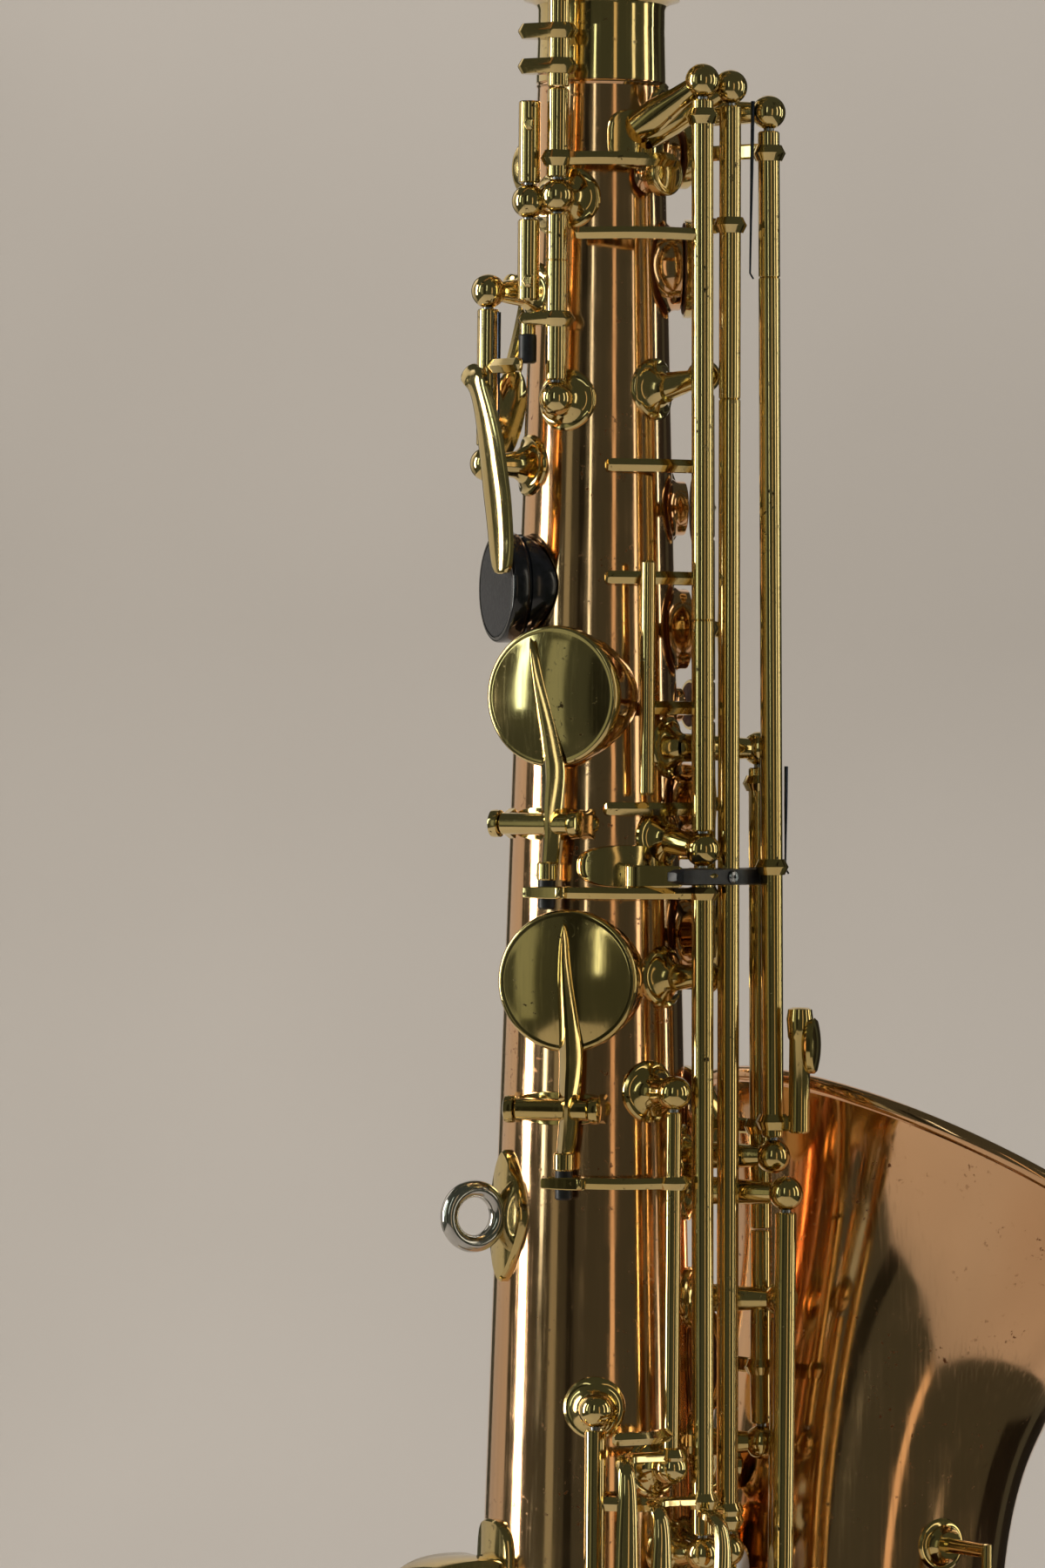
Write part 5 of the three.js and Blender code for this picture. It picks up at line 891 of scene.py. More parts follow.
def wrap_plate(angle, height, half_wide, half_tall, thick, power=3.5, sides=72):
    """A rounded plate bent to the tube: rows of superellipses, |a/w|^p + |b/h|^p = s^p, that stand on
    the skin, with a rounded edge."""
    t = np.linspace(0, 2 * np.pi, sides, endpoint=False)
    a = np.sign(np.cos(t)) * np.abs(np.cos(t)) ** (2 / power)
    b = np.sign(np.sin(t)) * np.abs(np.sin(t)) ** (2 / power)
    rows = [(1.0, -0.2), (1.0, thick * 0.6), (0.96, thick), (0.9, thick), (0.6, thick), (0.3, thick), (0.02, thick)]
    scale = np.array([s for s, _ in rows])[:, None]
    lift = np.array([h for _, h in rows])[:, None]
    a, b = scale * a * half_wide, scale * b * half_tall
    skin = tube_radius(height + b)
    out, side = outward(angle), around(angle)
    stand = np.sqrt(np.maximum(skin**2 - a**2, 0)) + lift
    return closed(stand[..., None] * out + a[..., None] * side + (height + b)[..., None] * UP)


piece("top_post_plate", wrap_plate(4, up(0.8965) - 0.6, 7.4, 6.4, 0.9), brass, nodes=["body_tube"])

# Saddles of the cups and palm keys that rock across the tube.


def saddle(angle, radius, height, length, shift=0.0):
    """A saddle: a scalloped plate bent to the tube, two ears and their screws."""
    side, out = around(angle), outward(angle)
    middle = polar(angle, radius, height) + side * shift
    parts = []
    for hand in (-1, 1):
        place = middle + side * hand * (length / 2 + 0.3 + 1)
        skin = float(tube_radius(height))
        low = place - out * (radius - skin + 1.5)
        path = np.linspace(low, place + out * 0.6, 8)
        parts.append(strap(path, [6.5, 4.6, 4.4, 4.4], 1.9, across=UP, section=FLAT))
        rows = [(2.1, -1.1), (2.9, -0.9), (3.0, 0), (2.9, 0.9), (2.1, 1.25), (0.8, 1.3)]
        parts.append(turned(rows, place, side * hand, 32))
        parts.append(bar(place, place - side * hand * 3, 1.15, 16, 0.1))
    shift_angle = np.degrees(shift / float(tube_radius(height)))
    parts.append(wrap_plate(angle + shift_angle, height, length / 2 + 2.6, 3.6, 1.5, power=2.6))
    return parts


def cross_tube(angle, radius, height, length, shift=0.0):
    """The hinge tube of a key that rocks across the body tube."""
    side = around(angle)
    middle = polar(angle, radius, height) + side * shift
    rows = [(1.7, 0.3), (1.75, 0), (2.1, 0), (2.35, 0.3), (2.35, length - 0.3), (2.1, length), (1.75, length), (1.7, length - 0.3)]
    return turned(rows, middle - side * length / 2, side, 32)


ROCKING = {
    "side_c": ("side_c_cup_key", "side_c_saddle", 0.6174, 0.5898, -57.5, 4.2),
    "side_b_flat": ("side_b_flat_cup_key", "side_b_flat_saddle", 0.5026, 0.4732, -46.5, 0.4),
}
ROCKER_LENGTH, ROCKER_SHIFT, SADDLE_RISE = 16.0, -2.6, 6.6

for name, (lever_key, seat, hinge_share, tail_share, angle, lean) in ROCKING.items():
    height = up(hinge_share)
    radius = float(tube_radius(height)) + SADDLE_RISE
    rim, axis, hole_radius = hole_of(name)
    piece(name + "_saddle_plate", saddle(angle, radius, height, ROCKER_LENGTH, ROCKER_SHIFT), brass, nodes=[seat])
    edge = hole_radius + CUP_MARGIN
    top = float(tube_radius(rim[2])) + CHIMNEY_RISE + GAP + CUP_HEIGHT
    tail = up(tail_share)
    shift = around(angle)
    blade = [polar(angle, top + 0.9, rim[2] + edge * 0.8) - lean * shift]
    blade += [polar(angle, top + 1.9, rim[2] + edge * 0.1) - 0.45 * lean * shift]
    blade += [polar(angle, top + 1.5, rim[2] - edge * 0.98) + 1.4 * shift, polar(angle, radius + 2.0, height + 4) + 1.2 * shift]
    blade += [polar(angle, radius + 1.0, height - 3) + 0.9 * shift, polar(angle, radius + 0.2, tail + 4.6)]
    arms = strap(curved(blade), [0.3, 2.4, 3.9, 5.2, 4.9, 4.4, 4.2, 4.0], [0.6, 2.0, 2.8, 3.0, 2.8, 2.6], shift, PLOUGH)
    socket = bar(polar(angle, radius, tail + 2.6), polar(angle, radius, tail + 6.4), 2.25, 28)
    rocker = cross_tube(angle, radius, height, ROCKER_LENGTH, ROCKER_SHIFT)
    piece(lever_key + "_arm", [rocker, arms, socket], brass, lever_key, [lever_key])
    piece(lever_key + "_cup", cup(name, 1.7), brass, lever_key)
    piece(lever_key + "_pad", pad(name), leather, lever_key)
    sleeve = bar(polar(angle, radius, tail - 3.6), polar(angle, radius, tail + 3.4), 1.9, 28, 0.4)
    piece(lever_key + "_sleeve", sleeve, sleeve_nylon, lever_key)


def fork_arm(line, name):
    """A side lever's arm: round the tube to a fork whose prongs pass either side of the sleeve."""
    *_, hinge_share, tail_share, angle, _ = ROCKING[name]
    radius = float(tube_radius(up(hinge_share))) + SADDLE_RISE
    tail = up(tail_share)
    start = LINES[line][0]
    middle = polar((start + angle) / 2, (line_radius(line, tail) + radius) / 2 + 2.2, tail)
    side, out = around(angle), outward(angle)
    heart = polar(angle, radius, tail)
    path = curved([on_line(line, tail), middle, heart + side * 4.6])
    prongs = [strap(np.linspace(heart + side * 5 + out * way * 2.9, heart - side * 4 + out * way * 2.9, 6), [2.6, 2.6, 2.2], [1.0, 1.0, 0.8], section=FLAT) for way in (-1, 1)]
    web = strap(np.linspace(heart + side * 4.2 - out * 3.3, heart + side * 4.2 + out * 3.3, 4), 2.6, 1.4, section=FLAT)
    return [strap(path, 2.6, [2.4, 2.2, 2.2], section=RIDGED), *prongs, web, collar(line, tail, tall=2.8)]


# Palm keys
PALM = {
    "palm_d": (0.766, 0.722),
    "palm_e_flat": (0.7981, 0.752),
    "palm_f": (0.838, 0.785),
}
palm_seats = []
for name, (hinge_share, touch_share) in PALM.items():
    angle = HOLES[name][1]
    height, touch = up(hinge_share), up(touch_share)
    radius = float(tube_radius(height)) + SADDLE_RISE
    touch_radius = float(tube_radius(touch)) + 14
    rim, axis, hole_radius = hole_of(name)
    top = float(tube_radius(rim[2])) + CHIMNEY_RISE + GAP + CUP_HEIGHT + 0.5
    palm_seats += saddle(angle, radius, height, 8.0)
    path = [polar(angle, touch_radius, touch + 4), polar(angle, radius + 1.2, height - 4), polar(angle, radius + 1.2, height + 4)]
    path += [polar(angle, top, rim[2] - hole_radius - CUP_MARGIN), polar(angle, top - 0.3, rim[2] + hole_radius / 2)]
    tilt = np.arctan2(touch_radius - radius, height - touch)
    out = outward(angle) * np.cos(tilt) + UP * np.sin(tilt)
    long_way = UP * np.cos(tilt) - outward(angle) * np.sin(tilt)
    arm = strap(curved(path), [5, 4.2, 3.6, 3.2, 1.6], [2.2, 2.6, 2.4, 1.4], across=around(angle))
    touch_leaf = leaf(polar(angle, touch_radius, touch), out, long_way, 11, 5.5, 1.8, dome=1.0)
    piece(name + "_lever", [cross_tube(angle, radius, height, 8.0), arm, touch_leaf], brass, name + "_key", [name + "_key"])
    piece(name + "_cup", cup(name, 0.9), brass, name + "_key")
    piece(name + "_pad", pad(name), leather, name + "_key")
piece("palm_key_saddles", palm_seats, brass, nodes=["body_tube"])

# Keys on hinge lines


def key(name, parts, holes=(), dome=1.1, node=None):
    """A key: its brass, its cups and its pads, riding on its own body."""
    node = node or name
    flat = [part for group in parts for part in (group if isinstance(group, list) else [group])]
    piece(name + "_lever", flat, brass, node, [node])
    if holes:
        piece(name + "_cup", [cup(h, dome) for h in holes], brass, node)
        piece(name + "_pad", [pad(h) for h in holes], leather, node)


def hanging_touch(line, share, angle, radius=40.5):
    """A side lever's touch: a narrow strap out from the hinge line that bends over and hangs."""
    height = up(share)
    start = on_line(line, height)
    stops = [polar(angle, radius - 7, height + 0.6), polar(angle, radius - 2, height - 0.4)]
    stops += [polar(angle, radius, height - 4.5), polar(angle, radius, height - 12), polar(angle, radius, height - 26)]
    path = curved([start, (start + stops[0]) / 2, *stops])
    return [collar(line, height), strap(path, [2.8, 3.0, 3.2, 3.4, 3.8, 4.6, 5.2], [2.2, 2.4], around(angle), CROWNED)]


key("side_c_lever", [
    hinge("side_c", up(0.3314), up(0.6001), [up(0.597)]),
    fork_arm("side_c", "side_c"),
    hanging_touch("side_c", 0.345, -11),
])
key("side_b_flat_lever", [
    hinge("side_b_flat", up(0.3662), up(0.5017), radius=1.75),
    fork_arm("side_b_flat", "side_b_flat"),
    level_arm("side_b_flat", up(0.372), [[-10, 34], [-24, 36]], 2.9),
    hanging_touch("side_b_flat", 0.363, -22),
])
key("high_e_key", [
    hinge("high_e", up(0.3318), up(0.9087), [up(0.8604), up(0.336)], seams=[up(0.79)]),
    cup_arm("high_e", "high_e", up(0.8604)),
    hanging_touch("high_e", 0.34, 12),
], ["high_e"])
f_low = up(0.4966)
f_radius = line_radius("high_f_sharp", f_low) + 6.2
riser = turned([(1.9, 0), (2.3, 0.4), (2.3, 20), (2.6, 20.6), (2.9, 24.5), (2.6, 26.6), (1.8, 27)], polar(41, f_radius, f_low - 2), UP, 36)
key("high_f_sharp_key", [
    hinge("high_f_sharp", up(0.4908), up(0.8994), [up(0.8905), up(0.6005), up(0.497)], seams=[up(0.84)]),
    cup_arm("high_f_sharp", "high_f_sharp"),
    level_arm("high_f_sharp", f_low, [[41, f_radius]]),
    riser,
    leaf(polar(41, f_radius + 2.8, up(0.5283)), outward(41), UP, 6, 4.2, 1.8, dome=0.8),
], ["high_f_sharp"], dome=0.7)
key("octave_transfer_rod", [
    hinge("side_c", up(0.6149), up(0.9102), [up(0.9035)], seams=[up(0.7)]),
    level_arm("side_c", up(0.8558), [[-12, line_radius("side_c", up(0.8558)) - 2.2], [-45, 21.4]], 2.8),
    level_arm("side_c", up(0.6225), [[23, 29.2]], 2.8),
])

# Octave keys
leaf_path = [(-96, 31.5, 424), (-88, 32.0, 422), (-84, 31.0, 414), (-83, 29.4, 403), (-83, 27.6, 391), (-83, 27.0, 381.5)]
key("octave_lever", [
    hinge("thumb", up(0.7706), up(0.826)),
    level_arm("thumb", up(0.8025), [[-88, 26.9], [-74, 26.9]], 3.2),
    strap(curved([polar(*stop) for stop in leaf_path]), [4.6, 5.2, 6.2, 7.6, 8.2, 7.4, 5.0], [2, 1.8], around(-84), CROWNED),
])
key("octave_rocker", [
    hinge("rocker", up(0.829), up(0.8616)),
    level_arm("rocker", up(0.8365), [[-72, line_radius("rocker", 0) + 2.2]], 3),
])
key("octave_link", [
    hinge("rocker", up(0.8764), up(0.9095)),
    level_arm("rocker", up(0.9), [[-72, line_radius("rocker", 0) + 2.2]], 3),
])
key("octave_balance_lever", [
    hinge("vent", up(0.7966), up(0.8637), [up(0.8213)], seams=[up(0.845)]),
    flange("vent", up(0.8213), -76, 22.6),
    bar(polar(-76, 22.6, up(0.812)), polar(-76, 22.6, up(0.8213)), 1.7, 24),
])
piece("octave_balance_sleeve", bar(polar(-76, 22.6, up(0.8035)), polar(-76, 22.6, up(0.8155)), 1.95, 28, 0.4), sleeve_nylon, "octave_balance_lever")
over = float(tube_radius(up(0.881))) + CHIMNEY_RISE + GAP + CUP_HEIGHT
key("body_octave_key", [
    hinge("vent", up(0.8785), up(0.9143), [up(0.8862)]),
    level_arm("vent", up(0.8862), [[-40, over + 0.5], [-20, over + 0.5], [0, over + 0.5], [13, over]], 3),
], ["octave"], dome=0.4)
actuator_radius = line_radius("vent", 0) + 2.2
rocker_radius = line_radius("rocker", 0)
key("neck_octave_actuator", [
    hinge("vent", up(0.915), up(0.964), [up(0.9235), up(0.9377)]),
    level_arm("vent", up(0.955), [[-46, actuator_radius]], 3),
    [flange("vent", up(s), -76, rocker_radius, tip=2.7, tall=3.2) for s in (0.9235, 0.9377)],
    bar(polar(-46, actuator_radius, up(0.95)), polar(-46, actuator_radius, up(1.036)), 1.5, 24, 0.7),
])

# Upper stack
UPPER = [
    ("c_vent_key", "c_vent", 0.7339, 0.7921, None, False, [0.7628]),
    ("b_key", "b", 0.676, 0.7333, None, True, [0.7173]),
    ("bis_key", "bis", 0.66, 0.6754, 0.6647, False, []),
    ("a_key", "a", 0.6043, 0.6594, None, True, [0.6238]),
    ("g_key", "g", 0.563, 0.6037, None, True, []),
]
link_parts = [
    level_arm("upper", up(0.6647), [[-5, 25]], 3),
    bar(polar(-5, 25, up(0.6293)), polar(-5, 25, up(0.724)), 1.6, 28, 0.5),
]


def stop_arm(share):
    """A stop arm that wraps over the tube and comes to rest above it."""
    reach = float(tube_radius(up(share))) + 3.4
    return level_arm("upper", up(share), [[6, reach + 2.2], [-8.5, reach + 0.5], [-23, reach]], 3)


# The open rest angle of the stack keys: the CAD meshes already stand at it, so each piece is turned
# about its hinge line by the same angle.


def opened(parts, line, degrees):
    """Parts turned about a hinge line by an angle, as at rest: p + sin (k x v) + (1 - cos) k x (k x v)."""
    axis = unit(on_line(line, BODY_HEIGHT) - on_line(line, 0))
    origin = on_line(line, RING_HEIGHT)
    a = np.radians(degrees)
    done = []
    for points, faces in parts:
        v = points - origin
        kv = np.cross(np.broadcast_to(axis, v.shape), v)
        done.append((points + np.sin(a) * kv + (1 - np.cos(a)) * np.cross(np.broadcast_to(axis, v.shape), kv), faces))
    return done


def open_key(name, line, degrees, parts, hole, dome=1.0, pearl_at=None):
    """A key that stands open at rest."""
    flat = [part for group in parts for part in (group if isinstance(group, list) else [group])]
    if pearl_at is not None:
        foot, axis = pearl_at
        flat.append(pearl_holder(foot, axis))
        piece(name + "_pearl", opened([pearl(foot, axis)], line, degrees), shell_pearl, name)
    piece(name + "_lever", opened(flat, line, degrees), brass, name, [name])
    piece(name + "_cup", opened([cup(hole, dome)], line, degrees), brass, name)
    piece(name + "_pad", opened([pad(hole)], line, degrees), leather, name)


for name, hole, low, high, arm_share, pearled, stops in UPPER:
    rim, axis, _ = hole_of(hole)
    parts = [hinge("upper", up(low), up(high)), cup_arm("upper", hole, None if arm_share is None else up(arm_share))]
    parts += [stop_arm(s) for s in stops] + (link_parts if name == "bis_key" else [])
    pearl_at = (rim + axis * (CUP_HEIGHT + 2.4), axis) if pearled else None
    open_key(name, "upper", -5, parts, hole, pearl_at=pearl_at)

LOWER = [("f_key", "f", 0.2832, 0.3166), ("e_key", "e", 0.2155, 0.2826), ("d_key", "d", 0.1544, 0.2149)]
for name, hole, low, high in LOWER:
    rim, axis, _ = hole_of(hole)
    skin = float(tube_radius(rim[2])) + CHIMNEY_RISE + GAP + CUP_HEIGHT
    foot = polar(46, skin + 1, rim[2])
    stalk = bar(polar(46, skin - 4.4, rim[2]), foot, 2.3, 24)
    parts = [hinge("lower", up(low), up(high)), cup_arm("lower", hole), stalk]
    open_key(name, "lower", -5.5, parts, hole, pearl_at=(foot + outward(46) * 0.8, outward(46)))

key("g_sharp_key", [hinge("middle", up(0.4526), up(0.6409), [up(0.6345), up(0.4943)]), cup_arm("middle", "g_sharp")], ["g_sharp"])
open_key("f_sharp_cup_key", "middle", -6, [hinge("middle", up(0.373), up(0.452), [up(0.3962)]), cup_arm("middle", "f_sharp")], "f_sharp")
lower_foot = line_radius("lower", 0)
key("e_flat_key", [
    hinge("lower", up(0.0758), up(0.1392)),
    cup_arm("lower", "e_flat"),
    level_arm("lower", up(0.1352), [[20, lower_foot + 8.8]]),
    leaf(polar(20, lower_foot + 8.8, up(0.1352)), outward(20), UP, 5, 9, 2.2, dome=0.8),
], ["e_flat"])
low_foot = line_radius("bell_low", 0)
open_key("low_c_key", "bell_low", 5, [
    hinge("bell_low", up(-0.0526), up(0.1337)),
    cup_arm("bell_low", "low_c", up(-0.0415)),
    level_arm("bell_low", up(0.116), [[28, low_foot]]),
    leaf(polar(28, low_foot, up(0.116)), outward(28), UP, 5, 9, 2.2, dome=0.8),
], "low_c", 1.6)
open_key("low_b_key", "bell_low", -6, [hinge("bell_low", up(0.1493), up(0.4607)), cup_arm("bell_low", "low_b")], "low_b", 1.6)
open_key("low_b_flat_key", "bell_high", -6, [hinge("bell_high", up(0.2191), up(0.4167)), cup_arm("bell_high", "low_b_flat")], "low_b_flat", 1.6)
sharp_foot = line_radius("low_c_sharp", 0)
key("low_c_sharp_key", [
    hinge("low_c_sharp", up(0.0568), up(0.4865)),
    cup_arm("low_c_sharp", "low_c_sharp"),
    level_arm("low_c_sharp", up(0.4755), [[144, sharp_foot + 4.4]]),
    leaf(polar(144, sharp_foot + 4.4, up(0.4755)), outward(118), UP, 5.4, 9, 2.2, dome=0.8),
], ["low_c_sharp"], 1.6)
table_foot = line_radius("table", 0)
for name, low, high, angle in [("g_sharp_lever", 0.5945, 0.6168, 142), ("low_b_lever", 0.566, 0.5938, 145), ("low_b_flat_lever", 0.538, 0.5653, 148)]:
    share = (low + high) / 2
    key(name, [
        hinge("table", up(low), up(high)),
        level_arm("table", up(share), [[94, table_foot + 2.2]]),
        level_arm("table", up(share), [[angle, 48]]),
        leaf(polar(angle, 48, up(share)), outward(angle - 20), UP, 5.4, 9, 2.2, dome=0.8),
    ])
trill_foot = line_radius("trill", 0)
key("alt_f_sharp_key", [
    hinge("trill", up(0.2342), up(0.3745)),
    level_arm("trill", up(0.345), [[-12, trill_foot + 4.4]]),
    level_arm("trill", up(0.27), [[-18, trill_foot + 11]]),
    leaf(polar(-18, trill_foot + 11, up(0.27)), outward(-18), UP, 9, 4, 2.2, dome=0.8),
])

# Fixed pieces on the body tube
ring_skin = float(tube_radius(RING_HEIGHT))
piece(
    "strap_ring_eye",
    [
        ring_of(RING_CENTRE, outward(-95), UP, 5.9, 1.9),
        bar(polar(-95, ring_skin + 1.2, RING_HEIGHT), polar(-95, ring_skin + 3.0, RING_HEIGHT), 1.9, 28, 0.5),
    ],
    silver,
    nodes=["strap_ring"],
)
piece("strap_ring_plate", wrap_plate(-95, RING_HEIGHT, 7.2, 14.2, 1.7, power=1.45), brass, nodes=["strap_ring"])

rest_height, rest_angle = up(0.7134), -104
rest_rows = [(0.02, 0.3, 0), (10.6, 0.3, 0), (11.2, 0.5, 0), (11.5, 1.0, 0.2), (11.5, 1.2, 0.8), (11.2, 1.5, 1), (10.7, 1.7, 1)]
rest_rows += [(10.7, 2.0, 1), (11.4, 2.2, 1), (11.8, 2.5, 1), (12, 3.0, 1), (12, 5.2, 1)]
rest_rows += [(11.2 + 0.8 * np.cos(s), 5.4 + 0.8 * np.sin(s), 1) for s in np.linspace(0.2, np.pi / 2, 6)]
rest_rows += [(10.95, 6.2, 1), (10.85, 5.9, 1), (0.02, 5.9, 1)]
piece("thumb_rest_rim", seated(rest_rows, rest_angle, rest_height, 96), resin, nodes=["thumb_rest"])
rest_face = [(10.7, 5.7), (10.75, 6.05), (10.5, 6.2)] + [(s, 6.2 - 0.3 * (1 - (s / 10.4) ** 2)) for s in (8, 6, 4, 2, 0.02)]
rest_skin = float(tube_radius(rest_height))
piece("thumb_rest_grip", turned(rest_face, polar(rest_angle, rest_skin, rest_height), outward(rest_angle), 96), resin_face)

hook_height, hook_angle, hook_reach = up(0.3183), -97, 24.0
hook_skin = float(tube_radius(hook_height))
hook_path = [polar(hook_angle, hook_skin + 0.6, hook_height - 4), polar(hook_angle, hook_skin + 1, hook_height)]
hook_path += [polar(hook_angle, hook_skin + 12, hook_height), polar(hook_angle, hook_skin + 19.2, hook_height - 2.4), polar(hook_angle, hook_skin + 24, hook_height - 8.4)]
piece(
    "thumb_hook_arm",
    [
        strap(curved(hook_path), [12, 15, 15, 14, 11], [1.8, 2.4, 2.4, 2.0], across=around(hook_angle), section=FLAT),
        wrap_plate(hook_angle, hook_height - 3, 7.5, 11.8, 1.6, power=3),
    ],
    brass,
    nodes=["thumb_hook"],
)
hook_screw = [(1.5, 0.3), (1.5, 2.3), (3.0, 2.4), (3.1, 3.0), (2.7, 3.5), (2.0, 3.8), (0.6, 3.9), (0.55, 3.3), (0.02, 3.3)]
hook_screw_height = hook_height - 12
piece("thumb_hook_screw_head", turned(hook_screw, polar(hook_angle, float(tube_radius(hook_screw_height)), hook_screw_height), outward(hook_angle), 36), steel, nodes=["thumb_hook_screw"])

guide_height = up(0.5966)
guide_stops = np.array([on_line(line, guide_height) for line in ("side_c", "high_e", "middle")])
guide_way = unit(guide_stops[1] - guide_stops[0])
guide_start = guide_stops[0] - guide_way * 7
guide_end = guide_stops[2] + unit(guide_stops[2] - guide_stops[1]) * 3.5
guide_path = np.concatenate([[guide_start], guide_stops, [guide_end]])
guide_path = np.concatenate([np.linspace(a, b, 7)[:-1] for a, b in zip(guide_path[:-1], guide_path[1:])] + [guide_path[-1:]])
guide_rods = np.concatenate([guide_stops, [on_line("upper", guide_height)]])
bored(
    "rod_guide_block",
    [strap(guide_path, 3.6, 6.8, section=FLAT)],
    [bar(p - UP * 4, p + UP * 4, 2.65, 32, 0.01) for p in guide_rods],
    sleeve_nylon,
    "instrument",
    ["rod_guide"],
)
guide_out = unit(np.cross(guide_way, UP))
screw_at = guide_stops[1] - guide_way * 2.5 + guide_out * 3.2
piece("rod_guide_screw", turned([(1.3, 0), (1.35, 0.5), (1.1, 0.85), (0.4, 0.95), (0.35, 0.6), (0.02, 0.6)], screw_at, guide_out, 28), steel)
corner = polar(-17, 27.5, guide_height)
bracket_path = [polar(-16, float(tube_radius(guide_height)) + 0.6, guide_height), polar(-16.5, 24, guide_height), corner, guide_start - guide_way * 0.4]
piece(
    "rod_guide_holder",
    [
        strap(curved(bracket_path), [6.2, 5.4, 4.8, 4.4], 2.0, section=FLAT),
        wrap_plate(-7, guide_height + 2, 11.5, 4.6, 1.2, power=3),
    ],
    brass,
    nodes=["rod_guide_bracket"],
)


def guard(side, shares, name, node):
    """A guard over bell keys: legs on round feet and a long bowed rail with rounded ends."""
    out = side * (BELL_THROAT + CHIMNEY_RISE + 14)
    ends = [np.array([BELL_DISTANCE, out, up(share)]) for share in shares]
    parts = [rod(np.linspace(ends[0] - UP * 1.5, ends[-1] + UP * 1.5, 12), [1.1, 1.5, 1.5, 1.5, 1.1], 24)]
    for end in ends:
        low = np.array([BELL_DISTANCE, side * (BELL_THROAT - 0.4), end[2]])
        parts.append(rod(np.linspace(low, end, 8), [2.2, 1.6, 1.5, 1.5], 24))
        parts.append(post_foot(0, end[2], 6.0, radius=BELL_THROAT, middle=BELL_DISTANCE, direction=(0, side, 0)))
    piece(name, parts, brass, nodes=[node])


guard(-1, (0.115, 0.2264, 0.322), "bell_key_guard_rail", "bell_key_guard")
guard(1, (0.03, 0.158), "low_c_sharp_guard_rail", "low_c_sharp_guard")

# Needle springs: blued wires from a post to a key.
SPRINGS = [
    (polar(38.5, 34.4, 483), polar(39, 34.0, 446)),
    (polar(-92, 25.2, 437), polar(-91, 25.4, 412.5)),
    (polar(49, 41.6, 340), polar(49, 41.6, 318)),
    (polar(36, 33.4, 256), polar(36, 33.0, 238)),
]
springs = []
for start, stop in SPRINGS:
    way = unit(stop - start)
    path = np.concatenate([np.linspace(start, stop, 12), [stop + way * 1.2 + outward(30) * 0.8]])
    springs.append(rod(path, [0.42, 0.38, 0.26, 0.2], 12))
piece("needle_springs", springs, blued)

# Receiver, neck and mouthpiece
RECEIVER_LOW, RECEIVER_HIGH, COLLAR_LOW = up(0.9196), up(0.996), up(0.9538)
receiver_rows = [
    (float(tube_radius(RECEIVER_LOW)) + 0.35, RECEIVER_LOW + 0.1),
    (13.6, RECEIVER_LOW),
    (13.75, RECEIVER_LOW + 0.2),
    (13.75, COLLAR_LOW - 2.2),
    (14.1, COLLAR_LOW - 1.2),
    (15.4, COLLAR_LOW - 0.4),
    (16.9, COLLAR_LOW),
    (17.1, COLLAR_LOW + 1.0),
    (16.6, COLLAR_LOW + 1.8),
    (16.4, COLLAR_LOW + 2.4),
    (16.4, RECEIVER_HIGH - 3.0),
    (16.7, RECEIVER_HIGH - 2.4),
    (17.1, RECEIVER_HIGH - 1.4),
    (16.8, RECEIVER_HIGH - 0.3),
    (16.2, RECEIVER_HIGH),
    (12.8, RECEIVER_HIGH),
    (12.45, RECEIVER_HIGH - 0.4),
    (12.45, TUBE_TOP + 0.4),
    (float(tube_radius(TUBE_TOP)) + 0.35, TUBE_TOP + 0.3),
]
turn = np.linspace(0, 2 * np.pi, 128, endpoint=False)
spokes = np.stack([np.cos(turn), np.sin(turn), np.zeros_like(turn)], -1)
profile = np.asarray(receiver_rows)
receiver = closed(profile[:, 0, None, None] * spokes + profile[:, 1, None, None] * UP, ends=False)


def slab(centre, sizes, first, second):
    """A box: its eight corners at half its sizes along three directions."""
    first, second = unit(first), unit(second)
    third = np.cross(first, second)
    corner = np.array([[-1, -1], [1, -1], [1, 1], [-1, 1]]) / 2
    ring = corner[:, 0, None] * sizes[0] * first + corner[:, 1, None] * sizes[1] * second
    grid = np.stack([ring - third * sizes[2] / 2, ring + third * sizes[2] / 2])
    return closed(np.asarray(centre, float) + grid)


lug_x, lug_z = -20.5, RECEIVER_HIGH - 6
lugs = [turned([(3.6, -1.5), (3.9, -1.2), (3.9, 1.2), (3.6, 1.5)], (lug_x + 0.4, hand * 2.6, lug_z), PLAYER_LEFT, 40, hint=RIGHT, widths=(1.05, 1.0)) for hand in (-1, 1)]
necks = [slab((lug_x + 3.6, hand * 2.6, lug_z), (6, 3.0, 7), RIGHT, PLAYER_LEFT) for hand in (-1, 1)]
bored(
    "receiver_sleeve",
    [receiver],
    [slab((-17, 0, RECEIVER_HIGH - 10), (14, 1.8, 26), RIGHT, PLAYER_LEFT)],
    brass,
    "instrument",
    ["neck_receiver"],
)
piece("receiver_lugs", lugs + necks, brass, nodes=["neck_receiver"])
screw_profile = [(1.5, -5.0), (1.5, 5.4), (1.2, 5.8), (0.02, 5.8)]
head_profile = [(0.02, -9.2), (2.2, -9.2), (3.4, -8.8), (3.6, -8.2), (3.3, -7.4), (3.6, -6.6), (3.6, -5.6), (3.2, -5.0), (1.4, -4.9)]
thumb_screw = turned(head_profile, (lug_x, 0, lug_z), PLAYER_LEFT, 40)
piece("receiver_screw_body", [turned(screw_profile, (lug_x, 0, lug_z), PLAYER_LEFT, 28), thumb_screw, leaf((lug_x, -11, lug_z), RIGHT, UP, 5.2, 2.6, 1.6, 0.3)], brass, "receiver_screw", ["receiver_screw"])

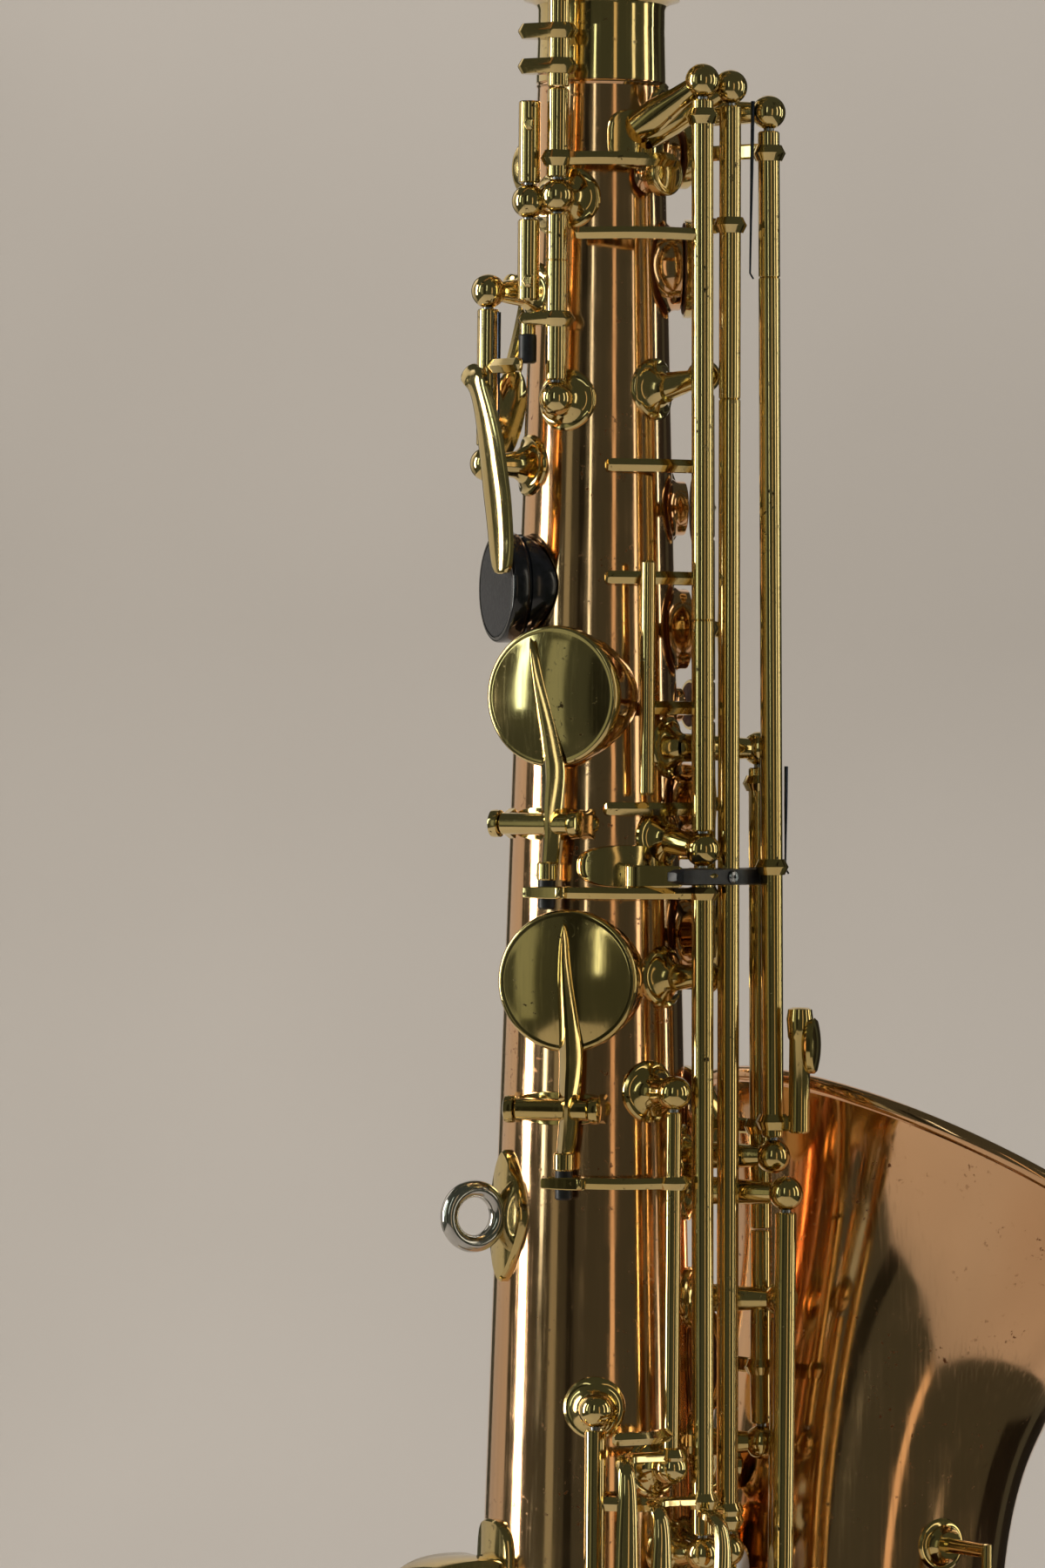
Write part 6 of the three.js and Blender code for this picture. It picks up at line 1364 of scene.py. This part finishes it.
NECK_TOP = RECEIVER_HIGH + 62
NECK_FALL = np.radians(13)
NECK_START = np.array([0, 0, TUBE_TOP + 0.6])
NECK_SHOULDER = np.array([0, 0, RECEIVER_HIGH + 15.5])
NECK_END = np.array([-126, 0, NECK_TOP - 18])
NECK_EXIT = np.array([-np.cos(NECK_FALL), 0, -np.sin(NECK_FALL)])
NECK_TURN = NECK_END - NECK_EXIT * 34


def neck_path(count=160):
    """A straight tenon, a cubic curve over to the cork's line, and the straight cork end, by length."""
    t = np.linspace(0, 1, 500)[:, None]
    a, b, c, d = NECK_SHOULDER, np.array([0, 0, NECK_TOP]), NECK_TURN - NECK_EXIT * 62, NECK_TURN
    curve = (1 - t) ** 3 * a + 3 * (1 - t) ** 2 * t * b + 3 * (1 - t) * t**2 * c + t**3 * d
    whole = np.concatenate([NECK_START[None], curve, NECK_END[None]])
    lengths = np.concatenate([[0], np.cumsum(np.linalg.norm(np.diff(whole, axis=0), axis=1))])
    at = np.linspace(0, lengths[-1], count)
    centres = np.stack([np.interp(at, lengths, whole[:, i]) for i in range(3)], -1)
    tenon = (NECK_SHOULDER[2] - NECK_START[2]) / lengths[-1]
    way = np.maximum(at / lengths[-1] - tenon, 0) / (1 - tenon)
    return centres, np.gradient(centres, axis=0), 12.1 + (6.6 - 12.1) * way, at / lengths[-1], lengths[-1]


neck_centres, neck_ways, neck_radii, neck_shares, neck_length = neck_path()
cork_share = 1 - 34 / neck_length


def on_neck(share):
    """Centre, direction, outward way and radius of the neck at a share of its length."""
    centre = np.array([np.interp(share, neck_shares, neck_centres[:, i]) for i in range(3)])
    way = unit(np.array([np.interp(share, neck_shares, neck_ways[:, i]) for i in range(3)]))
    out = unit(np.cross(way, PLAYER_LEFT))
    out = out if out[2] > 0 or out[0] > 0 else -out
    return centre, way, out, float(np.interp(share, neck_shares, neck_radii))


vent_centre, vent_way, vent_out, vent_skin = on_neck(0.62)
hinge_centre, hinge_way, hinge_out, hinge_skin = on_neck(0.475)
neck_hinge = hinge_centre + hinge_out * (hinge_skin + 5.6)
piece("neck_shell", wall_along(neck_centres, neck_ways, neck_radii, 0.9), bronze, "neck", ["neck_tube"])
collar_rows = [(12.3, 0), (16.2, 0), (16.6, 0.4), (16.6, 1.8), (15.8, 2.4), (14.2, 4.0), (13.4, 6.5), (13.3, 9.5), (13.5, 10.2), (13.1, 12.2), (12.0, 12.6)]
neck_fittings = [turned(collar_rows, (0, 0, RECEIVER_HIGH + 0.3), UP, 96)]
neck_fittings.append(turned([(3.6, -0.8), (3.3, 0.2), (3.1, 0.9), (3.1, 2.5), (2.8, 2.8), (2.2, 2.7)], vent_centre + vent_out * vent_skin, vent_out, 40))
for hand in (-1, 1):
    ear = neck_hinge + PLAYER_LEFT * hand * 6.3
    neck_fittings.append(strap(np.linspace(ear - hinge_out * 6.5, ear + hinge_out * 1.2, 6), [5, 4.2, 4.2], 1.9, across=hinge_way, section=FLAT))
    neck_fittings.append(turned([(2.1, -1.1), (2.8, -0.9), (2.9, 0), (2.8, 0.9), (2.1, 1.2), (0.8, 1.3)], ear, PLAYER_LEFT * hand, 32))
neck_fittings.append(leaf(hinge_centre + hinge_out * (hinge_skin + 0.1), hinge_out, hinge_way, 6.5, 8.0, 2.4, 0.2))
piece("neck_fittings", neck_fittings, brass, "neck", ["neck_tube"])
cork_start, cork_way, _, cork_skin = on_neck(cork_share)
piece("neck_cork_sheet", turned([(7.7, 0.2), (9.3, 0.3), (9.6, 0.8), (9.6, 33.0), (9.3, 33.6), (6.9, 33.7)], cork_start, NECK_EXIT, 72), cork_sheet, "neck", ["neck_cork"])

vent_rim = vent_centre + vent_out * (vent_skin + CHIMNEY_RISE)
vent_cup = turned([(3.9, 0.6), (4.5, 0.6), (4.7, 0.9), (4.7, 2.9), (4.2, 3.7), (2.2, 4.1), (0.02, 4.2)], vent_rim, vent_out, 48)
loop_centre = np.array([0, 0, RECEIVER_HIGH + 62 / 3])
shoulder = np.array([26.5, 0, NECK_TOP - 18])
over_hinge = neck_hinge + hinge_out * 0.5 - hinge_way * 5.6
octave_parts = [
    turned([(1.7, 0.3), (2.1, 0), (2.35, 0.3), (2.35, 9.7), (2.1, 10), (1.7, 9.7)], neck_hinge - PLAYER_LEFT * 5, PLAYER_LEFT, 32),
    rod(curved([vent_rim + vent_out * 3.9, neck_hinge + hinge_way * 4 + hinge_out * 0.8, neck_hinge]), [1.3, 1.7, 1.8], 24),
    vent_cup,
    ring_of(loop_centre, RIGHT, PLAYER_LEFT, 26.5, 1.5, 128),
    rod(curved([neck_hinge, over_hinge, (over_hinge + shoulder) / 2 + UP * 1, shoulder, np.array([26.5, 0, loop_centre[2]])]), [1.9, 1.7, 1.6, 1.6, 1.9], 24),
]
piece("neck_octave_lever", octave_parts, brass, "neck_octave_key", ["neck_octave_key"])
piece("neck_octave_pad", turned([(0.02, 0.35), (3.7, 0.35), (4.1, 0.8), (4.0, 1.3), (0.02, 1.4)], vent_rim, vent_out, 40), leather, "neck_octave_key")

MOUTH_TOP = np.array([-np.sin(NECK_FALL), 0, np.cos(NECK_FALL)])
MOUTH_ORIGIN = NECK_END - NECK_EXIT * 20
MOUTH_RADIUS, MOUTH_LENGTH, TABLE_DROP = 12.6, 92.0, 7.6


def along_mouth(distance, rise=0.0):
    """A point of the mouthpiece's own frame."""
    return MOUTH_ORIGIN + NECK_EXIT * distance + MOUTH_TOP * rise


mouth_rows = [(10.9, 0), (11.6, 0.1), (12.2, 0.5), (12.6, 1.2), (12.6, 5.0), (12.3, 5.4), (12.3, 6.0), (12.6, 6.4), (12.6, 23)]
mouth_rows += [(12.35, 32), (11.7, 40), (11.35, 46), (11.1, 60), (10.9, 80), (10.8, 92)]
beak = np.radians(15.5)
beak_side = NECK_EXIT * np.cos(beak) - MOUTH_TOP * np.sin(beak)
beak_top = MOUTH_TOP * np.cos(beak) + NECK_EXIT * np.sin(beak)
bored(
    "mouthpiece_body",
    [turned(mouth_rows, MOUTH_ORIGIN, NECK_EXIT, 96)],
    [
        slab(along_mouth(MOUTH_LENGTH, -MOUTH_RADIUS - TABLE_DROP), (117.8, 25.2, 50.4), NECK_EXIT, MOUTH_TOP),
        slab(along_mouth(MOUTH_LENGTH, MOUTH_RADIUS - TABLE_DROP), (92, 25.2, 50.4), beak_side, beak_top),
        bar(along_mouth(-2), along_mouth(0.32 * MOUTH_LENGTH), 10.2, 64, 0.01),
        bar(along_mouth(0.3 * MOUTH_LENGTH), along_mouth(0.62 * MOUTH_LENGTH), 6.9, 48, 0.01),
        slab(along_mouth(0.8 * MOUTH_LENGTH, -0.7 * MOUTH_RADIUS), (33.1, 12.6, 11.3), NECK_EXIT, MOUTH_TOP),
    ],
    ebonite,
    "mouthpiece",
    ["mouthpiece"],
    crossed=True,
)


def reed(half_wide=6.4, thick=2.6, tip=0.3):
    """A reed: across it the back is flat and the top is a shallow arch; along it the thickness is even
    for the bark and then falls evenly to the tip, whose end is rounded."""
    s = np.linspace(0.36, 1.0, 40)
    full = np.interp(s, [0.36, 0.62, 1.0], [thick, thick, tip])
    wide = half_wide * np.interp(s, [0.36, 0.97, 1.0], [0.93, 1.0, 0.86])
    t = np.linspace(-1, 1, 15)
    arch = 1 - 0.45 * t**2
    level = -TABLE_DROP - GAP
    under = level - full[:, None] * arch[None, :]
    points = [(s, t, under), (s, t[::-1], np.full_like(under, level))]
    rows = []
    for along, side, rise in points:
        rows.append(MOUTH_ORIGIN + (along * MOUTH_LENGTH)[:, None, None] * NECK_EXIT + rise[..., None] * MOUTH_TOP + (wide[:, None] * side)[..., None] * PLAYER_LEFT)
    return closed(np.concatenate(rows, axis=1))


piece("reed_blade", reed(), cane_reed, "mouthpiece", ["reed"])
inner = MOUTH_RADIUS + GAP
low_edge, high_edge = 0.39 * MOUTH_LENGTH, 0.56 * MOUTH_LENGTH
band_rows = [(inner, low_edge), (inner + 0.8, low_edge), (inner + 1.2, low_edge + 0.5), (inner + 0.8, low_edge + 1.4), (inner + 0.75, high_edge - 1.4), (inner + 1.2, high_edge - 0.5), (inner + 0.8, high_edge), (inner, high_edge)]
profile = np.asarray(band_rows)
spokes = np.cos(turn)[:, None] * MOUTH_TOP + np.sin(turn)[:, None] * PLAYER_LEFT
piece("ligature_band", closed(MOUTH_ORIGIN + profile[:, 0, None, None] * spokes + profile[:, 1, None, None] * NECK_EXIT, ends=False), brass, "mouthpiece", ["ligature"])
ligature_screws = []
for share in (0.43, 0.52):
    at = along_mouth(share * MOUTH_LENGTH, -inner - 1.6)
    ligature_screws.append(bar(at - PLAYER_LEFT * 4.5, at + PLAYER_LEFT * 4.5, 1.6, 24))
    ligature_screws.append(turned([(0.02, 4.2), (2.4, 4.2), (2.7, 4.7), (2.7, 7.3), (2.4, 7.8), (0.02, 7.9)], at, -PLAYER_LEFT, 28))
piece("ligature_screws", ligature_screws, brass, "mouthpiece")

# Stage, lights and camera. The camera keeps the photograph's angle: from azimuth -33 degrees, level.
FOCAL_PIXELS, DISTANCE = 7950.0, 1500.0
ROLL = 0.0085
view_right = np.array([0.839, -0.545, 0.0])
view_back = np.array([-0.545, -0.839, 0.0])
target = -15.7 * view_right + np.array([0, 0, 335.7])
eye = target + DISTANCE * view_back
rolled_right = view_right * np.cos(ROLL) + UP * np.sin(ROLL)
rolled_up = UP * np.cos(ROLL) - view_right * np.sin(ROLL)


def metres(point):
    """A point of the body's frame in the row frame, in metres."""
    return (np.asarray(point, float) - RING_CENTRE) / 1000


lens = bpy.data.cameras.new("photo_camera")
lens.sensor_width = 36.0
lens.sensor_fit = "AUTO"
lens.lens = FOCAL_PIXELS / 1800 * 36
lens.clip_end = 50
camera = bpy.data.objects.new("photo_camera", lens)
bpy.context.scene.collection.objects.link(camera)


def turn_to(made, at, right, upward, back):
    made.matrix_world = Matrix([[right[i], upward[i], back[i], at[i]] for i in range(3)] + [[0, 0, 0, 1]])


turn_to(camera, metres(eye), rolled_right, rolled_up, view_back)
bpy.context.scene.camera = camera


def backdrop():
    """A pale sweep: a floor that curves up behind the object by a quarter circle of 0.5 m."""
    low = metres((0, 0, -88.2))[2] - 0.002
    t = np.linspace(0, np.pi / 2, 24)
    run = np.concatenate([[-1.0, 0.0], 1.3 + 0.5 * np.sin(t), [1.8]])
    rise = np.concatenate([[0.0, 0.0], 0.5 - 0.5 * np.cos(t), [3.2]])
    across = np.linspace(-0.55, 0.55, 12)
    grid = -run[:, None, None] * view_back + across[None, :, None] * view_right
    grid = grid + (low + rise)[:, None, None] * UP
    rows, cols = grid.shape[:2]
    at = np.arange(rows - 1)[:, None] * cols + np.arange(cols - 1)[None, :]
    quads = np.stack([at, at + 1, at + cols + 1, at + cols], -1).reshape(-1, 4)
    mesh = bpy.data.meshes.new("pale_sweep")
    mesh.from_pydata(grid.reshape(-1, 3).tolist(), [], quads.tolist())
    mesh.shade_smooth()
    made = bpy.data.objects.new("pale_sweep", mesh)
    bpy.context.scene.collection.objects.link(made)
    wall, tree, shader = begin("pale_paper")
    tone = mixed(tree, ranged(tree, pattern(tree, 300), 0.3, 0.7), colour("b4aca4"), colour("aea69e"))
    finish_with(tree, shader, tone, ranged(tree, pattern(tree, 40), 0, 1, 0.85, 0.95))
    mesh.materials.append(wall)


backdrop()


def lamp(name, at, aim, wide, tall, watts, tint="ffffff"):
    """A soft box: an area lamp that faces its aim, its long side up."""
    at, aim = np.asarray(at, float), np.asarray(aim, float)
    back = unit(at - aim)
    right = unit(np.cross(UP, back))
    light = bpy.data.lights.new(name, "AREA")
    light.shape = "RECTANGLE"
    light.size, light.size_y = wide, tall
    light.energy = watts
    light.color = colour(tint)[:3]
    made = bpy.data.objects.new(name, light)
    bpy.context.scene.collection.objects.link(made)
    turn_to(made, at, right, np.cross(back, right), back)
    return made


heart = metres(target)


def studio(angle, distance, height):
    """A place round the object: the angle is counted from the camera's side, to its right."""
    a = np.radians(angle)
    return heart + distance * (np.sin(a) * view_right + np.cos(a) * view_back) + height * UP


def card(name, angle, distance, height, wide, tall, tone, other):
    """A stiff card that stands facing the object, for the metal to mirror; the dark ones are painted shade, standing in
    for the unlit room.
    """
    middle = studio(angle, distance, height)
    back = unit(studio(angle, 1.0, 0) - heart)
    right = unit(np.cross(UP, back))
    corners = [middle + a * wide / 2 * right + b * tall / 2 * UP for a, b in ((-1, -1), (1, -1), (1, 1), (-1, 1))]
    mesh = bpy.data.meshes.new(name)
    mesh.from_pydata([c.tolist() for c in corners], [], [(0, 3, 2, 1)])
    made = bpy.data.objects.new(name, mesh)
    bpy.context.scene.collection.objects.link(made)
    paper, tree, shader = begin(name + "_paper")
    base = mixed(tree, ranged(tree, pattern(tree, 200), 0.3, 0.7), colour(tone), colour(other))
    finish_with(tree, shader, base, ranged(tree, pattern(tree, 30), 0, 1, 0.85, 0.95))
    mesh.materials.append(paper)


card("pale_card_left", -128, 1.7, 0.2, 1.1, 2.6, "dcd4ca", "d2cac0")
# The three dark cards are painted shade: their near-black colour stands in for the unlit parts of the room that the
# metal mirrors.
card("painted_shade_card_right", 112, 1.9, 0.15, 0.9, 2.2, "24211c", "2a2721")
card("painted_shade_card_behind", 147, 1.75, 0.15, 0.75, 2.2, "24211c", "2a2721")
card("painted_shade_card_left", -24, 1.9, 0.2, 0.3, 2.6, "24251d", "2a2b22")
lamp("window_strip", studio(-88, 1.7, 0.25), heart, 0.34, 1.5, 20, "fffaf0")
lamp("left_tube_strip", studio(-62, 1.9, 0.5), heart, 0.16, 1.3, 2.6, "eefff4")
lamp("ceiling_tube", studio(-11, 1.9, 0.66), heart + 0.3 * UP, 0.1, 1.3, 0.9, "f6fff0")
lamp("mid_panel", studio(-45, 1.9, 0.1), heart, 0.3, 1.5, 0.42, "e2e6c4")
lamp("warm_panel", studio(25, 1.8, 0.1), heart, 0.16, 1.3, 0.5, "ffdcb0")
lamp("right_strip", studio(60, 1.8, 0.3), heart, 0.16, 1.5, 1.3, "fff4dc")
lamp("right_soft_box", studio(88, 1.7, 0.3), heart, 0.22, 1.4, 2.6, "fff2de")
lamp("far_right_strip", studio(106, 1.7, 0.1), heart, 0.06, 1.0, 0.9, "f6fff0")
top_box = lamp("top_soft_box", studio(10, 0.6, 1.7), heart, 1.4, 0.7, 26)
wall_light = lamp("wall_light", studio(178, 0.9, 1.5), heart - 1.4 * view_back, 2.4, 0.5, 24)
for unseen in (top_box, wall_light):
    unseen.visible_glossy = False

world = bpy.data.worlds.new("studio")
world.use_nodes = True
background = world.node_tree.nodes["Background"]
background.inputs["Color"].default_value = colour("44463b")
background.inputs["Strength"].default_value = 0.9
bpy.context.scene.world = world
bpy.context.scene.view_settings.view_transform = "Standard"
